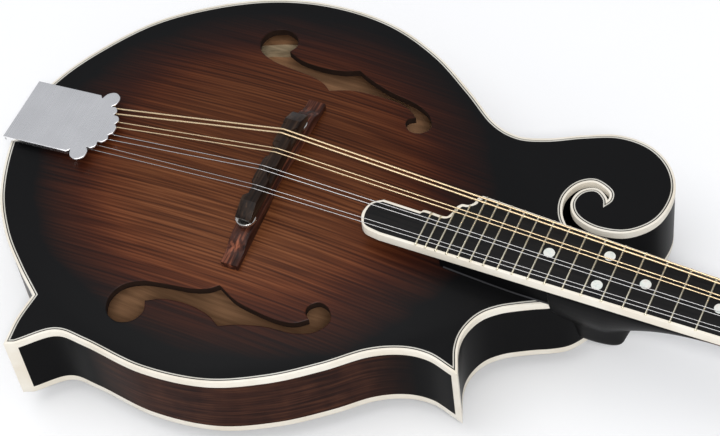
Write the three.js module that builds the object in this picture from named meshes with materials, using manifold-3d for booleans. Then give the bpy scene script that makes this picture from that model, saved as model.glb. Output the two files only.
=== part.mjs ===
// An F-style mandolin: carved top and back on bent ribs, a scroll on the bass side, two body points on
// the treble side, a raised neck with an extended fingerboard, an adjustable bridge, a tailpiece
// with a sliding cover, eight strings and eight geared tuners.
// Instrument frame: x = 0 at the bridge and +X towards the headstock, +Y on the bass side, +Z out of the
// top, z = 0 at the flat rim of the top. Millimetres.
import * as THREE from 'three';
import { mergeVertices } from 'three/addons/utils/BufferGeometryUtils.js';
import Module from 'manifold-3d';

const wasm = await Module();
wasm.setup();

// ---- driving dimensions ----
const SCALE = 352.4;              // vibrating string length, bridge to nut
const RIM_DEPTH = 48;             // outside depth of the body at its rim
const TOP_ARCH = 12.5;            // rise of the top above its rim
const BACK_ARCH = 13;             // drop of the back below its rim
const PLATE = 4.7;                // thickness of the top and back plates
const BINDING = 2.4;              // the body binding's outer face lies this far outside the outline
const EDGE = 1;                   // the plates and the binding meet this far outside the outline
const RIB = 2;                    // thickness of the bent ribs
const LINING = 5;                 // width of the linings glued inside the ribs
const GAP = 0.3;                  // clearance kept between glued or resting pieces
const NECK_ANGLE = 2;             // degrees the fret plane falls towards the headstock
const FRET_PLANE_Z = 28.8;        // height of the fret plane above the rim at the bridge
const STRING_HEIGHT = 3.1;        // strings above the fret plane at the bridge
const NUT_ACTION = 0.7;           // strings above the fret plane at the nut
const FRET_COUNT = 24;
const FRET_HEIGHT = 1.1;
const BOARD_THICK = 5.5;          // fingerboard thickness under the frets
const BOARD_HALF_NUT = 13.8;      // half width of the fingerboard at the nut
const BOARD_TAPER = 0.0272;       // growth of the half width per millimetre towards the body
const HEAD_ANGLE = 15;            // degrees the headstock leans back from the fret plane
const HEAD_THICK = 13;
const POST_SPACING = 23;          // distance between neighbouring tuner posts
const POST_ROW = 21;              // distance of each row of posts from the centre line
const BRIDGE_PLACE = [-2.4, -1.4];  // centre of the bridge, set a little off the centre line
const BRIDGE_TURN = 0.9;          // degrees the bridge is turned, its bass end towards the tailpiece
const BRIDGE_WHEEL_Y = 32.8;      // the bridge's two posts sit this far from its centre

const group = new THREE.Group();
const instrument = new THREE.Group();
const bridgeFrame = new THREE.Group();
const neckFrame = new THREE.Group();
const headFrame = new THREE.Group();
const coverFrame = new THREE.Group();
const vec2 = (x, y) => new THREE.Vector2(x, y);
const FINEST = 0.005;             // corners closer than this are one corner

// ---- geometry helpers ----
function toSolid(geometry) {
  const bare = geometry.index ? geometry.toNonIndexed() : geometry;
  for (const name of Object.keys(bare.attributes)) {
    if (name !== 'position') bare.deleteAttribute(name);
  }
  const merged = mergeVertices(bare, 1e-4);
  return new wasm.Manifold(new wasm.Mesh({
    numProp: 3,
    vertProperties: new Float32Array(merged.attributes.position.array),
    triVerts: new Uint32Array(merged.index.array),
  }));
}

function toGeometry(solid) {
  const data = solid.getMesh();
  const geometry = new THREE.BufferGeometry();
  geometry.setAttribute('position', new THREE.BufferAttribute(new Float32Array(data.vertProperties), 3));
  geometry.setIndex(new THREE.BufferAttribute(new Uint32Array(data.triVerts), 1));
  // corners that a cut left almost on top of each other become one, and triangles that vanish go
  const merged = mergeVertices(geometry, FINEST);
  const corners = merged.index.array;
  const kept = [];
  for (let i = 0; i < corners.length; i += 3) {
    const [a, b, c] = corners.subarray(i, i + 3);
    if (a !== b && b !== c && c !== a) kept.push(a, b, c);
  }
  merged.setIndex(kept);
  merged.computeVertexNormals();
  return merged;
}

function add(parent, name, shape, material) {
  const geometry = shape.isBufferGeometry ? shape : toGeometry(shape);
  const mesh = new THREE.Mesh(geometry, material);
  mesh.name = name;
  parent.add(mesh);
  return mesh;
}

const paint = (color, roughness, metalness = 0) =>
  new THREE.MeshStandardMaterial({ color, roughness, metalness });

// a closed plan outline raised between two heights
function prism(points, z0, z1) {
  const geometry = new THREE.ExtrudeGeometry(new THREE.Shape(points), { depth: z1 - z0, bevelEnabled: false });
  return toSolid(geometry.translate(0, 0, z0));
}

// the strip between two outlines
function ringBetween(outer, inner, z0, z1) {
  return prism(outer, z0, z1).subtract(prism(inner, z0 - 1, z1 + 1));
}

// a closed outline drawn in the (y, z) plane and carried along x
function slabAlongX(points, x0, x1) {
  const geometry = new THREE.ExtrudeGeometry(new THREE.Shape(points), { depth: x1 - x0, bevelEnabled: false });
  const yzx = new THREE.Matrix4().makeBasis(
    new THREE.Vector3(0, 1, 0), new THREE.Vector3(0, 0, 1), new THREE.Vector3(1, 0, 0));
  return toSolid(geometry.applyMatrix4(yzx).translate(x0, 0, 0));
}

function box(x0, x1, y0, y1, z0, z1) {
  const geometry = new THREE.BoxGeometry(x1 - x0, y1 - y0, z1 - z0);
  return toSolid(geometry.translate((x0 + x1) / 2, (y0 + y1) / 2, (z0 + z1) / 2));
}

// an upright round bar
function rod(x, y, z0, z1, radius, sides = 16) {
  const geometry = new THREE.CylinderGeometry(radius, radius, z1 - z0, sides);
  return toSolid(geometry.rotateX(Math.PI / 2).translate(x, y, (z0 + z1) / 2));
}

// every vertex of a unit shape is moved to the place its own coordinates ask for
function reshape(geometry, place) {
  const position = geometry.attributes.position;
  for (let i = 0; i < position.count; i++) {
    const p = place(position.getX(i), position.getY(i), position.getZ(i));
    position.setXYZ(i, p[0], p[1], p[2]);
  }
  return toSolid(geometry);
}

// a profile of (radius, height) turned about z
function turned(profile, sides) {
  const geometry = new THREE.LatheGeometry(profile.map((p) => vec2(p[0], p[1])), sides);
  return geometry.rotateX(Math.PI / 2);
}

function smooth(controls, count, closed = false) {
  const points = controls.map((p) => new THREE.Vector3(p[0], p[1], 0));
  const curve = new THREE.CatmullRomCurve3(points, closed, 'catmullrom', 0.5);
  const sampled = curve.getPoints(count);
  if (closed) sampled.pop();
  return sampled.map((p) => vec2(p.x, p.y));
}

function largest(solid) {
  return solid.decompose().sort((a, b) => b.volume() - a.volume())[0];
}

// the body that a solid has around a given spot in plan
function pieceNear(solid, x, y) {
  const spot = vec2(x, y);
  const distance = (piece) => {
    const data = piece.getMesh().vertProperties;
    let best = Infinity;
    for (let i = 0; i < data.length; i += 3) {
      best = Math.min(best, spot.distanceTo(vec2(data[i], data[i + 1])));
    }
    return best;
  };
  return solid.decompose().sort((a, b) => distance(a) - distance(b))[0];
}

// ---- the body outline, along the inner line of its purfling, clockwise seen from the front ----
// Each entry is one smooth stretch between two sharp corners, with the number of straight steps it gets.
const NECK_CURVE = [[172.8, 5], [170.3, 0.9], [166.9, -4.5], [163, -8.8], [156.2, -12.9], [149.2, -16.2],
  [140, -21.1], [133.6, -25.2], [127.2, -31.3], [123.2, -38.8], [121.4, -47.8], [122.6, -57], [126.5, -67]];
const WAIST_CURVE = [[126.5, -67], [112, -63.2], [97, -65], [81, -73], [63, -88.5], [40, -105], [12, -118],
  [-22, -122.2], [-56, -118.2], [-75, -118.3], [-91.2, -132.4]];
const POINT_END = [[-91.2, -132.4], [-93.2, -133.2]];
const POINT_CURVE = [[-93.2, -133.2], [-94.4, -120], [-93.2, -103.4]];
const BASS_CURVE = [[-93.2, -103.4], [-111, -89], [-128, -72.7], [-143, -51.3], [-153.5, -24], [-157.3, 0],
  [-153.5, 24], [-142.5, 50], [-120.5, 82.5], [-92, 106], [-61, 122], [-28, 129], [7, 127], [39, 115],
  [66, 97.2], [86.5, 82], [103, 77.3], [119, 81.2], [137, 90], [154, 96.3], [171, 95.2], [184.4, 86.4],
  [191.6, 72], [189.8, 54.4], [179.2, 42.4], [165, 38.8], [153.2, 41.4], [147.6, 48], [148.9, 55.5],
  [154.5, 59.1], [160, 56], [162.2, 50.9]];
const SLOT_CURVE = [[162.2, 50.9], [165.2, 57], [162.6, 63.3], [152, 66.9], [143, 61.3], [139, 50],
  [142.3, 37.7], [152, 27], [162, 19.5], [169, 12.8], [172.8, 5]];
const OUTLINE = [[NECK_CURVE, 17], [WAIST_CURVE, 18], [POINT_END, 1], [POINT_CURVE, 4], [BASS_CURVE, 62],
  [SLOT_CURVE, 19]];

// a run of points moved sideways (to its left when positive)
function shifted(points, distance) {
  return points.map((p, i) => {
    const before = points[Math.max(i - 1, 0)];
    const after = points[Math.min(i + 1, points.length - 1)];
    const along = after.clone().sub(before).normalize();
    return vec2(p.x - along.y * distance, p.y + along.x * distance);
  });
}

function extended(points, reach) {
  const n = points.length;
  const head = points[0].clone().sub(points[1]).setLength(reach).add(points[0]);
  const tail = points[n - 1].clone().sub(points[n - 2]).setLength(reach).add(points[n - 1]);
  return [head, ...points, tail];
}

function crossing(a, b, c, d) {
  const r = b.clone().sub(a);
  const s = d.clone().sub(c);
  const det = r.cross(s);
  if (Math.abs(det) < 1e-9) return null;
  const t = c.clone().sub(a).cross(s) / det;
  const u = c.clone().sub(a).cross(r) / det;
  return t >= 0 && t <= 1 && u >= 0 && u <= 1 ? a.clone().addScaledVector(r, t) : null;
}

// two neighbouring runs trimmed to the point where they cross, which becomes their shared corner
function trimTogether(first, second) {
  for (let i = first.length - 2; i >= 0; i--) {
    for (let j = 0; j < second.length - 1; j++) {
      const hit = crossing(first[i], first[i + 1], second[j], second[j + 1]);
      if (hit) return [[...first.slice(0, i + 1), hit], [hit, ...second.slice(j + 1)]];
    }
  }
  return [first.slice(0, -1), second.slice(1)];
}

// the whole body outline grown outwards by a distance, or shrunk when negative
function outline(grow) {
  let runs = OUTLINE.map(([controls, steps]) =>
    extended(shifted(smooth(controls, steps), grow), Math.abs(grow) * 3 + 0.5));
  for (let i = 0; i < runs.length; i++) {
    const next = (i + 1) % runs.length;
    [runs[i], runs[next]] = trimTogether(runs[i], runs[next]);
  }
  const points = runs.flat();
  return points.filter((p, i) => p.distanceTo(points[(i + 1) % points.length]) > 0.02);
}

// the air space between the blocks; it runs just past the ribs wherever they are bare
const CHAMBER = [[-159, 0], [-154.5, 26], [-143, 53], [-120.5, 85], [-92, 108.5], [-61, 124.5], [-28, 131],
  [7, 129], [39, 117], [66, 99], [84, 82], [98, 62], [105, 32], [106, 0], [103, -28], [94, -52], [78, -76],
  [61, -91], [39, -106.5], [12, -119.5], [-22, -123.7], [-56, -119], [-80, -108.5], [-111, -91],
  [-129.5, -73.7], [-144.5, -52], [-155, -26]];
const chamber = (grow) => shiftedRing(smooth(CHAMBER, 40, true), grow);

function shiftedRing(points, grow) {
  return points.map((p, i) => {
    const before = points[(i + points.length - 1) % points.length];
    const after = points[(i + 1) % points.length];
    const along = after.clone().sub(before).normalize();
    return vec2(p.x - along.y * grow, p.y + along.x * grow);
  });
}

// ---- arching: a dome over the bouts that dies out into the flat rim, scroll and points ----
function dome(x, y) {
  const halfLength = 150;
  const fullWidth = y > 0 ? 127 : 122;
  const narrowing = y > 0 ? 0.25 : 0.36;
  const halfWidth = fullWidth - narrowing * Math.max(x, 0);
  const r2 = ((x + 5) / halfLength) ** 2 + (y / halfWidth) ** 2;
  return r2 < 1 ? (1 - r2) ** 1.5 : 0;
}
const topZ = (x, y) => TOP_ARCH * dome(x, y);
const backZ = (x, y) => -RIM_DEPTH - BACK_ARCH * dome(x, y);

function carvedPlate(outside, lowZ, highZ) {
  const [x0, x1, y0, y1] = [-162, 198, -140, 134];
  const slab = reshape(new THREE.BoxGeometry(1, 1, 1, 14, 11, 1), (u, v, w) => {
    const x = x0 + (u + 0.5) * (x1 - x0);
    const y = y0 + (v + 0.5) * (y1 - y0);
    return [x, y, w < 0 ? lowZ(x, y) : highZ(x, y)];
  });
  return slab.intersect(prism(outside, -RIM_DEPTH - 40, 40));
}

// ---- one f-hole, drawn on the bass side ----
const F_OUTER = [[-36.7, 88.5], [-27, 84.4], [-14, 83.3], [-2, 85.2], [6, 89.1]];
const F_OUTER_NECK = [[6, 89.1], [15, 85], [28, 81], [43, 78.9], [53, 74.6], [58.4, 66.5], [55.5, 60],
  [49.6, 58.4], [45.2, 62], [45, 66.2], [48.2, 69]];
const F_INNER_NECK = [[48.2, 69], [41.6, 73.6], [32.5, 75.3], [20.4, 74.8], [8.3, 73], [-2.7, 68.1]];
const F_INNER = [[-2.7, 68.1], [-8, 72], [-17, 74.8], [-30, 76.4], [-42, 78.4], [-52, 83.6], [-56, 92],
  [-53.5, 100.5], [-45.8, 104], [-38, 100.8], [-34.9, 94.3], [-36.7, 88.5]];

function fHole(side) {
  const runs = [[F_OUTER, 5], [F_OUTER_NECK, 15], [F_INNER_NECK, 7], [F_INNER, 18]];
  const points = runs.flatMap(([controls, steps]) => smooth(controls, steps).slice(0, -1));
  return points.map((p) => vec2(p.x, p.y * side));
}

// ---- body ----
function buildPlates() {
  const edge = outline(EDGE - GAP / 2);
  const spruce = paint('#5a3018', 0.45);
  const maple = paint('#3b1f14', 0.4);
  let top = carvedPlate(edge, (x, y) => topZ(x, y) - PLATE, topZ);
  for (const side of [1, -1]) top = top.subtract(prism(fHole(side), -20, 30));
  add(instrument, 'top_plate', largest(top), spruce);
  const back = carvedPlate(edge, backZ, (x, y) => backZ(x, y) + PLATE);
  add(instrument, 'back_plate', largest(back), maple);
}

const RIB_TOP = -PLATE - GAP;
const RIB_BOTTOM = -RIM_DEPTH + PLATE + GAP;

// the part of the plan around a body point, from some depth behind its outer tip outwards
function aroundPoint(tip, depth, width) {
  const length = 30;
  const geometry = new THREE.BoxGeometry(length, width, RIM_DEPTH * 2);
  geometry.translate(length / 2 - depth, 0, -RIM_DEPTH / 2);
  return toSolid(geometry.rotateZ(Math.atan2(tip.facing[1], tip.facing[0])).translate(...tip.at, 0));
}
const UPPER_TIP = { at: [131.5, -71.5], facing: [0.7, -0.72], cap: 5.5 };
const LOWER_TIP = { at: [-93.5, -136], facing: [-0.42, -0.91], cap: 4.2 };

// the neck's tenon, narrowing downwards: it goes through the ribs into the neck block
function neckTenon(spare) {
  const [low, high] = [-33, RIB_TOP];
  const profile = [vec2(-3.6 - spare, low - spare), vec2(3.6 + spare, low - spare), vec2(7.5 + spare, high + spare),
    vec2(-7.5 - spare, high + spare)];
  return slabAlongX(profile, 156 - spare, 176);
}

function buildRibs() {
  const wood = paint('#2a1812', 0.35);
  let cut = ringBetween(outline(RIB + GAP), outline(GAP), RIB_BOTTOM, RIB_TOP);
  for (const tip of [UPPER_TIP, LOWER_TIP]) {
    const mitre = aroundPoint(tip, tip.cap + 8, GAP);
    cut = cut.subtract(aroundPoint(tip, tip.cap + GAP, 40)).subtract(mitre);
  }
  const tailSeam = box(-170, -150, -GAP / 2, GAP / 2, -RIM_DEPTH, 0);
  const neckSeam = box(160, 180, -GAP / 2, GAP / 2, -RIM_DEPTH, 0);
  cut = cut.subtract(tailSeam).subtract(neckSeam).subtract(neckTenon(GAP)).subtract(pinHole());
  add(instrument, 'rib_bass', pieceNear(cut, -28, 130), wood);
  add(instrument, 'rib_treble_tail', pieceNear(cut, -143, -52), wood);
  add(instrument, 'rib_treble_waist', pieceNear(cut, 12, -119), wood);
  add(instrument, 'rib_treble_neck', pieceNear(cut, 120, -40), wood);
}

function buildBindings() {
  const ivory = paint('#e9dfc6', 0.35);
  const outer = outline(BINDING);
  const inner = outline(EDGE + GAP / 2);
  add(instrument, 'top_binding', ringBetween(outer, inner, -PLATE, 0), ivory);
  add(instrument, 'back_binding', ringBetween(outer, inner, -RIM_DEPTH, -RIM_DEPTH + PLATE), ivory);
  const ring = ringBetween(outer, outline(GAP), RIB_BOTTOM, RIB_TOP);
  for (const [name, tip] of [['upper_point_cap', UPPER_TIP], ['lower_point_cap', LOWER_TIP]]) {
    add(instrument, name, largest(ring.intersect(aroundPoint(tip, tip.cap, 40))), ivory);
  }
}

const LINING_HEIGHT = 6;

// a lining ring with a clearance grown on every side of it
function liningRing(z0, z1, spare) {
  return ringBetween(chamber(spare), chamber(-LINING - 1.4 - spare), z0 - spare, z1 + spare);
}

function buildLinings() {
  const basswood = paint('#c9a874', 0.8);
  const inside = prism(outline(0), -RIM_DEPTH, 0);
  const topRing = liningRing(RIB_TOP - LINING_HEIGHT, RIB_TOP, 0).intersect(inside);
  const backRing = liningRing(RIB_BOTTOM, RIB_BOTTOM + LINING_HEIGHT, 0).intersect(inside);
  add(instrument, 'top_lining', largest(topRing), basswood);
  add(instrument, 'back_lining', largest(backRing), basswood);
}

function buildBlocks() {
  const basswood = paint('#c7a26a', 0.8);
  const inside = prism(outline(0), RIB_BOTTOM, RIB_TOP);
  const filled = inside.subtract(prism(chamber(GAP), -RIM_DEPTH, 0));
  const block = (x0, x1, y0, y1) => largest(filled.intersect(box(x0, x1, y0, y1, -RIM_DEPTH, 0)));
  add(instrument, 'neck_block', largest(block(60, 200, -40, 110).subtract(neckTenon(GAP))), basswood);
  add(instrument, 'upper_point_block', block(60, 140, -80, -40 - GAP), basswood);
  add(instrument, 'lower_point_block', block(-110, -40, -140, -95), basswood);
  const tail = inside.intersect(box(-170, -132, -32, 32, RIB_BOTTOM, RIB_TOP))
    .subtract(liningRing(RIB_TOP - LINING_HEIGHT, RIB_TOP + 2, GAP))
    .subtract(liningRing(RIB_BOTTOM - 2, RIB_BOTTOM + LINING_HEIGHT, GAP))
    .subtract(pinHole());
  add(instrument, 'tail_block', largest(tail), basswood);
}

// tone bars under the top: straight in plan, fitted to the arching and scalloped towards both ends
function buildToneBars() {
  const spruce = paint('#d2b280', 0.8);
  for (const [name, y0, y1] of [['tone_bar_bass', 40, 26], ['tone_bar_treble', -34, -26]]) {
    const bar = reshape(new THREE.BoxGeometry(1, 1, 1, 10, 1, 1), (u, v, w) => {
      const x = -12 + u * 190;
      const y = y0 + (y1 - y0) * (u + 0.5) + v * 6;
      const under = topZ(x, y) - PLATE - 2 * GAP;
      const tall = 3 + 8 * (1 - (2 * u) ** 2);
      return [x, y, w > 0 ? under : under - tall];
    });
    add(instrument, name, bar, spruce);
  }
}

// ---- fret plane frame: x from the bridge along the plane, z = 0 at the fret crowns ----
const boardHalf = (x) => BOARD_HALF_NUT + BOARD_TAPER * (SCALE - x);
const fretX = (n) => SCALE * 2 ** (-n / 12);
const BOARD_TOP = -FRET_HEIGHT;
const BOARD_BOTTOM = BOARD_TOP - BOARD_THICK;
const FB_BINDING = 1.5;
const NUT_X = SCALE + 0.2;
const NUT_CREST = NUT_ACTION - 0.4;

// the board's plan: straight taper, then an extension that keeps only the treble side, with an ogee step
function boardOutline(inset) {
  const bassEnd = 108.3;
  const treble = (x) => -boardHalf(x) + inset;
  const tip = [[68, treble(68)], [59.8, -20.2 + inset], [55.8 + inset, -15.6], [54.8 + inset, -10.4],
    [56.8 + inset / 2, -4.4 - inset / 2], [62, -0.5 - inset]];
  const ogee = [[82.6, -0.4 - inset], [84.8, 1.3 - inset], [94.8, 1.3 - inset], [97.2 + inset, 3.8 - inset / 2],
    [98.4 + inset, 9.4 - inset]];
  const step = [[98.4 + inset, 9.4 - inset], [100.4 + inset / 2, 11.7 - inset], [103.6, 12.4 - inset],
    [105.7 + inset, 14.8 - inset / 2], [106.4 + inset, 18.4 - inset], [bassEnd + inset, boardHalf(bassEnd) - inset]];
  return [
    vec2(SCALE, treble(SCALE)),
    ...smooth(tip, 12),
    ...smooth(ogee, 8).slice(0, -1),
    ...smooth(step, 9),
    vec2(SCALE, boardHalf(SCALE) - inset),
  ];
}

// how far a fret reaches on the bass side, where the extension cuts the last ones short
function fretBassEnd(n) {
  if (n <= 20) return boardHalf(fretX(n)) - 0.15;
  return { 21: 12.1, 22: 8.6, 23: 0.9, 24: 0.9 }[n];
}

function buildFingerboard() {
  const ebony = paint('#161414', 0.5);
  const ivory = paint('#efe8d6', 0.3);
  let board = prism(boardOutline(FB_BINDING + 0.1), BOARD_BOTTOM, BOARD_TOP);
  for (let n = 1; n <= FRET_COUNT; n++) {
    const x = fretX(n);
    const crown = [vec2(x - 0.7, BOARD_TOP - 0.02), vec2(x + 0.7, BOARD_TOP - 0.02), vec2(x + 0.5, -0.3),
      vec2(x, 0), vec2(x - 0.5, -0.3)];
    const y0 = -boardHalf(x) + 0.15;
    const y1 = fretBassEnd(n);
    const shape = new THREE.ExtrudeGeometry(new THREE.Shape(crown), { depth: y1 - y0, bevelEnabled: false });
    board = board.add(toSolid(shape.rotateX(Math.PI / 2).translate(0, y1, 0)));
  }
  add(neckFrame, 'fingerboard', board, ebony);
  const strip = prism(boardOutline(0), BOARD_BOTTOM, BOARD_TOP - 0.12).subtract(
    prism(boardOutline(FB_BINDING), BOARD_BOTTOM - 1, BOARD_TOP + 1));
  add(neckFrame, 'fingerboard_binding', largest(strip), ivory);
}

const HEAD_START = SCALE + 7;
const NECK_TOP = BOARD_BOTTOM - GAP;
const HEEL_BOTTOM_Z = -RIM_DEPTH + 4.2;

// the body as seen by the neck: the neck is built in the tilted frame, so the body is tilted back
function bodyInNeckFrame(solid) {
  return solid.translate([0, 0, -FRET_PLANE_Z]).rotate([0, -NECK_ANGLE, 0]);
}

// the shaft of the neck: a soft V that deepens into the heel, to be planed flat on top
function neckShaft() {
  const [x0, x1] = [158, HEAD_START + 3];
  const towardsV = (p) => Math.sign(p) * Math.abs(p) ** 1.25;
  return reshape(new THREE.CylinderGeometry(1, 1, 1, 18, 20), (u, v, w) => {
    const x = x0 + (v + 0.5) * (x1 - x0);
    const ramp = Math.min(Math.max((246 - x) / 60, 0), 1) ** 1.5;
    const half = boardHalf(Math.min(x, SCALE)) - 0.2;
    const rise = 3;
    return [x, -towardsV(u) * half, NECK_TOP + (w < 0 ? towardsV(w) * (11.5 + 34 * ramp) : w * rise)];
  });
}

// the heel: upright, narrowing from the neck down to a rounded end just above the back
function neckHeel() {
  const bottom = HEEL_BOTTOM_Z - FRET_PLANE_Z + 176 * Math.sin(NECK_ANGLE * Math.PI / 180);
  const height = NECK_TOP - 2 - bottom;
  return reshape(new THREE.CylinderGeometry(1, 1, 1, 20, 14), (u, v, w) => {
    const t = v + 0.5;
    const tip = Math.max(0, 1 - t / 0.1) ** 2;
    const reach = w > 0 ? 17.7 + 13.2 * t + 49.7 * t ** 5.4 - 4 * tip : 18;
    const half = (3.95 + 12.5 * t ** 1.05) * Math.sqrt(1 - 0.8 * tip);
    const side = w < 0 ? Math.sign(u) * Math.abs(u) ** 0.35 : u;
    return [176 + w * reach, side * half, bottom + t * height];
  });
}

// the riser that carries the fingerboard over the body
function neckRiser() {
  const plan = [vec2(98, -15.5), vec2(172, -15), vec2(172, 16), vec2(112, 15.5), vec2(100, 2), vec2(98, -3)];
  return prism(plan, -30, NECK_TOP + 2);
}

// the truss rod sits in a channel that is open under the fingerboard
const ROD_DEPTH = 8;
function rodChannel() {
  return box(170, HEAD_START + 14, -3, 3, NECK_TOP - ROD_DEPTH, NECK_TOP + 20);
}

// ---- headstock frame: x from the nut's back, z = 0 on the face of the overlay ----
const HEAD_BASS = [[0, 14.6], [12, 15.6], [22, 24], [30, 33.5], [44, 33], [74, 31.5], [104, 33], [122, 39],
  [140, 41.5], [152, 35], [152, 24], [143, 19], [139, 24.5]];
const HEAD_CROWN = [[139, 24.5], [134, 16], [142, 6], [156, 0], [164, -6]];
const HEAD_TREBLE = [[164, -6], [160, -20], [150, -34], [134, -41], [120, -38.5], [104, -33], [74, -31.5],
  [44, -33], [30, -33.5], [22, -24], [12, -15.6], [0, -14.6]];
function headOutline() {
  const runs = [[HEAD_BASS, 18], [HEAD_CROWN, 6], [HEAD_TREBLE, 16]];
  return runs.flatMap(([controls, steps]) => smooth(controls, steps).slice(0, -1)).concat(vec2(0, -14.6));
}
const OVERLAY = 1.6;
const HEAD_BACK = -OVERLAY - GAP - HEAD_THICK;
const postX = (i) => 40 + POST_SPACING * i;
const HEAD_FACE_DROP = 4;        // the overlay's face lies this far below the fret plane at the nut

function headPlacement() {
  return new THREE.Matrix4().makeRotationY(HEAD_ANGLE * Math.PI / 180)
    .setPosition(HEAD_START, 0, -HEAD_FACE_DROP);
}

function buildNeck() {
  const black = paint('#141212', 0.4);
  let slab = prism(headOutline(), HEAD_BACK, -OVERLAY - GAP);
  const volute = box(-8, 10, -13.5, 13.5, HEAD_BACK + 1, -OVERLAY - 5);
  slab = slab.add(volute);
  for (const side of [1, -1]) {
    for (let i = 0; i < 4; i++) {
      slab = slab.subtract(rod(postX(i), side * POST_ROW, HEAD_BACK - 1, 0, 4.4, 8));
    }
  }
  const slabGeometry = toGeometry(slab).applyMatrix4(headPlacement());
  const body = bodyInNeckFrame(prism(outline(BINDING + GAP), -RIM_DEPTH - 30, GAP));
  const arch = bodyInNeckFrame(carvedPlate(outline(BINDING + GAP), () => -20, (x, y) => topZ(x, y) + 2 * GAP));
  const planed = box(60, HEAD_START + 10, -40, 40, NECK_TOP, NECK_TOP + 20);
  let neck = neckShaft().add(neckHeel()).add(neckRiser()).subtract(planed).add(toSolid(slabGeometry));
  neck = neck.subtract(body).subtract(arch).add(bodyInNeckFrame(neckTenon(0))).subtract(rodChannel());
  neck = neck.subtract(box(SCALE - 0.1, HEAD_START, -20, 20, NECK_TOP - 1, 20));
  add(neckFrame, 'neck', largest(neck), black);

  const overlay = prism(headOutline(), -OVERLAY, 0);
  let veneer = overlay;
  for (const side of [1, -1]) {
    for (let i = 0; i < 4; i++) veneer = veneer.subtract(rod(postX(i), side * POST_ROW, -9, 9, 4.4, 8));
  }
  veneer = veneer.subtract(box(-2, 18, -4, 4, -9, 9)).subtract(box(-9, 0.6, -20, 20, -9, 9));
  add(headFrame, 'headstock_overlay', largest(veneer), black);
  const cover = [[0.9, -6], [8, -8], [20, -7], [30, 0], [20, 7], [8, 8], [0.9, 6]];
  add(headFrame, 'truss_rod_cover', prism(smooth(cover, 18), GAP, GAP + 1.5), paint('#101010', 0.35));
}

function buildNutAndRod() {
  const bone = paint('#ece6d4', 0.4);
  const half = BOARD_HALF_NUT - 0.1;
  const profile = [vec2(-half, NECK_TOP - 0.6), vec2(half, NECK_TOP - 0.6), vec2(half, NUT_CREST - 1),
    vec2(half - 1, NUT_CREST), vec2(1 - half, NUT_CREST), vec2(-half, NUT_CREST - 1)];
  add(neckFrame, 'nut', slabAlongX(profile, NUT_X, NUT_X + 5), bone);
  const steel = paint('#8d8d90', 0.35, 0.9);
  const length = HEAD_START + 8 - 175;
  const bar = new THREE.CylinderGeometry(2.4, 2.4, length, 12).rotateZ(Math.PI / 2);
  add(neckFrame, 'truss_rod', bar.translate(175 + length / 2, 0, NECK_TOP - ROD_DEPTH + 2.9), steel);
}

// ---- bridge ----
const BASE_HALF = 56.5;
const BASE_TOP = 18.2;
const WHEEL_Z = 20.6;
const WHEEL_THICK = 2.4;
const SADDLE_BOTTOM = WHEEL_Z + WHEEL_THICK + 0.1;
const POST_REACH = 2;             // how far the posts run up into the saddle
const SADDLE_BORE = 4.2;          // depth of the blind holes they run in
const bridgePlacement = () => new THREE.Matrix4().makeRotationZ(BRIDGE_TURN * Math.PI / 180)
  .setPosition(BRIDGE_PLACE[0], BRIDGE_PLACE[1], 0);
const SADDLE_CREST = FRET_PLANE_Z + STRING_HEIGHT - 0.5;
const SADDLE_STEP = 6.3;          // half the distance between neighbouring courses on the saddle
const SADDLE_PAIR = 1.27;         // each string's distance from the middle of its course there

// the space behind a course's ridge, where its strings fall away to the tailpiece
function stringRamp(course) {
  const ramp = new THREE.BoxGeometry(12, 2 * SADDLE_STEP, 10).translate(-6, 0, 5).rotateY(-0.26);
  return toSolid(ramp.translate(course.saddleX - 0.1, course.at * SADDLE_STEP, SADDLE_CREST));
}

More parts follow.
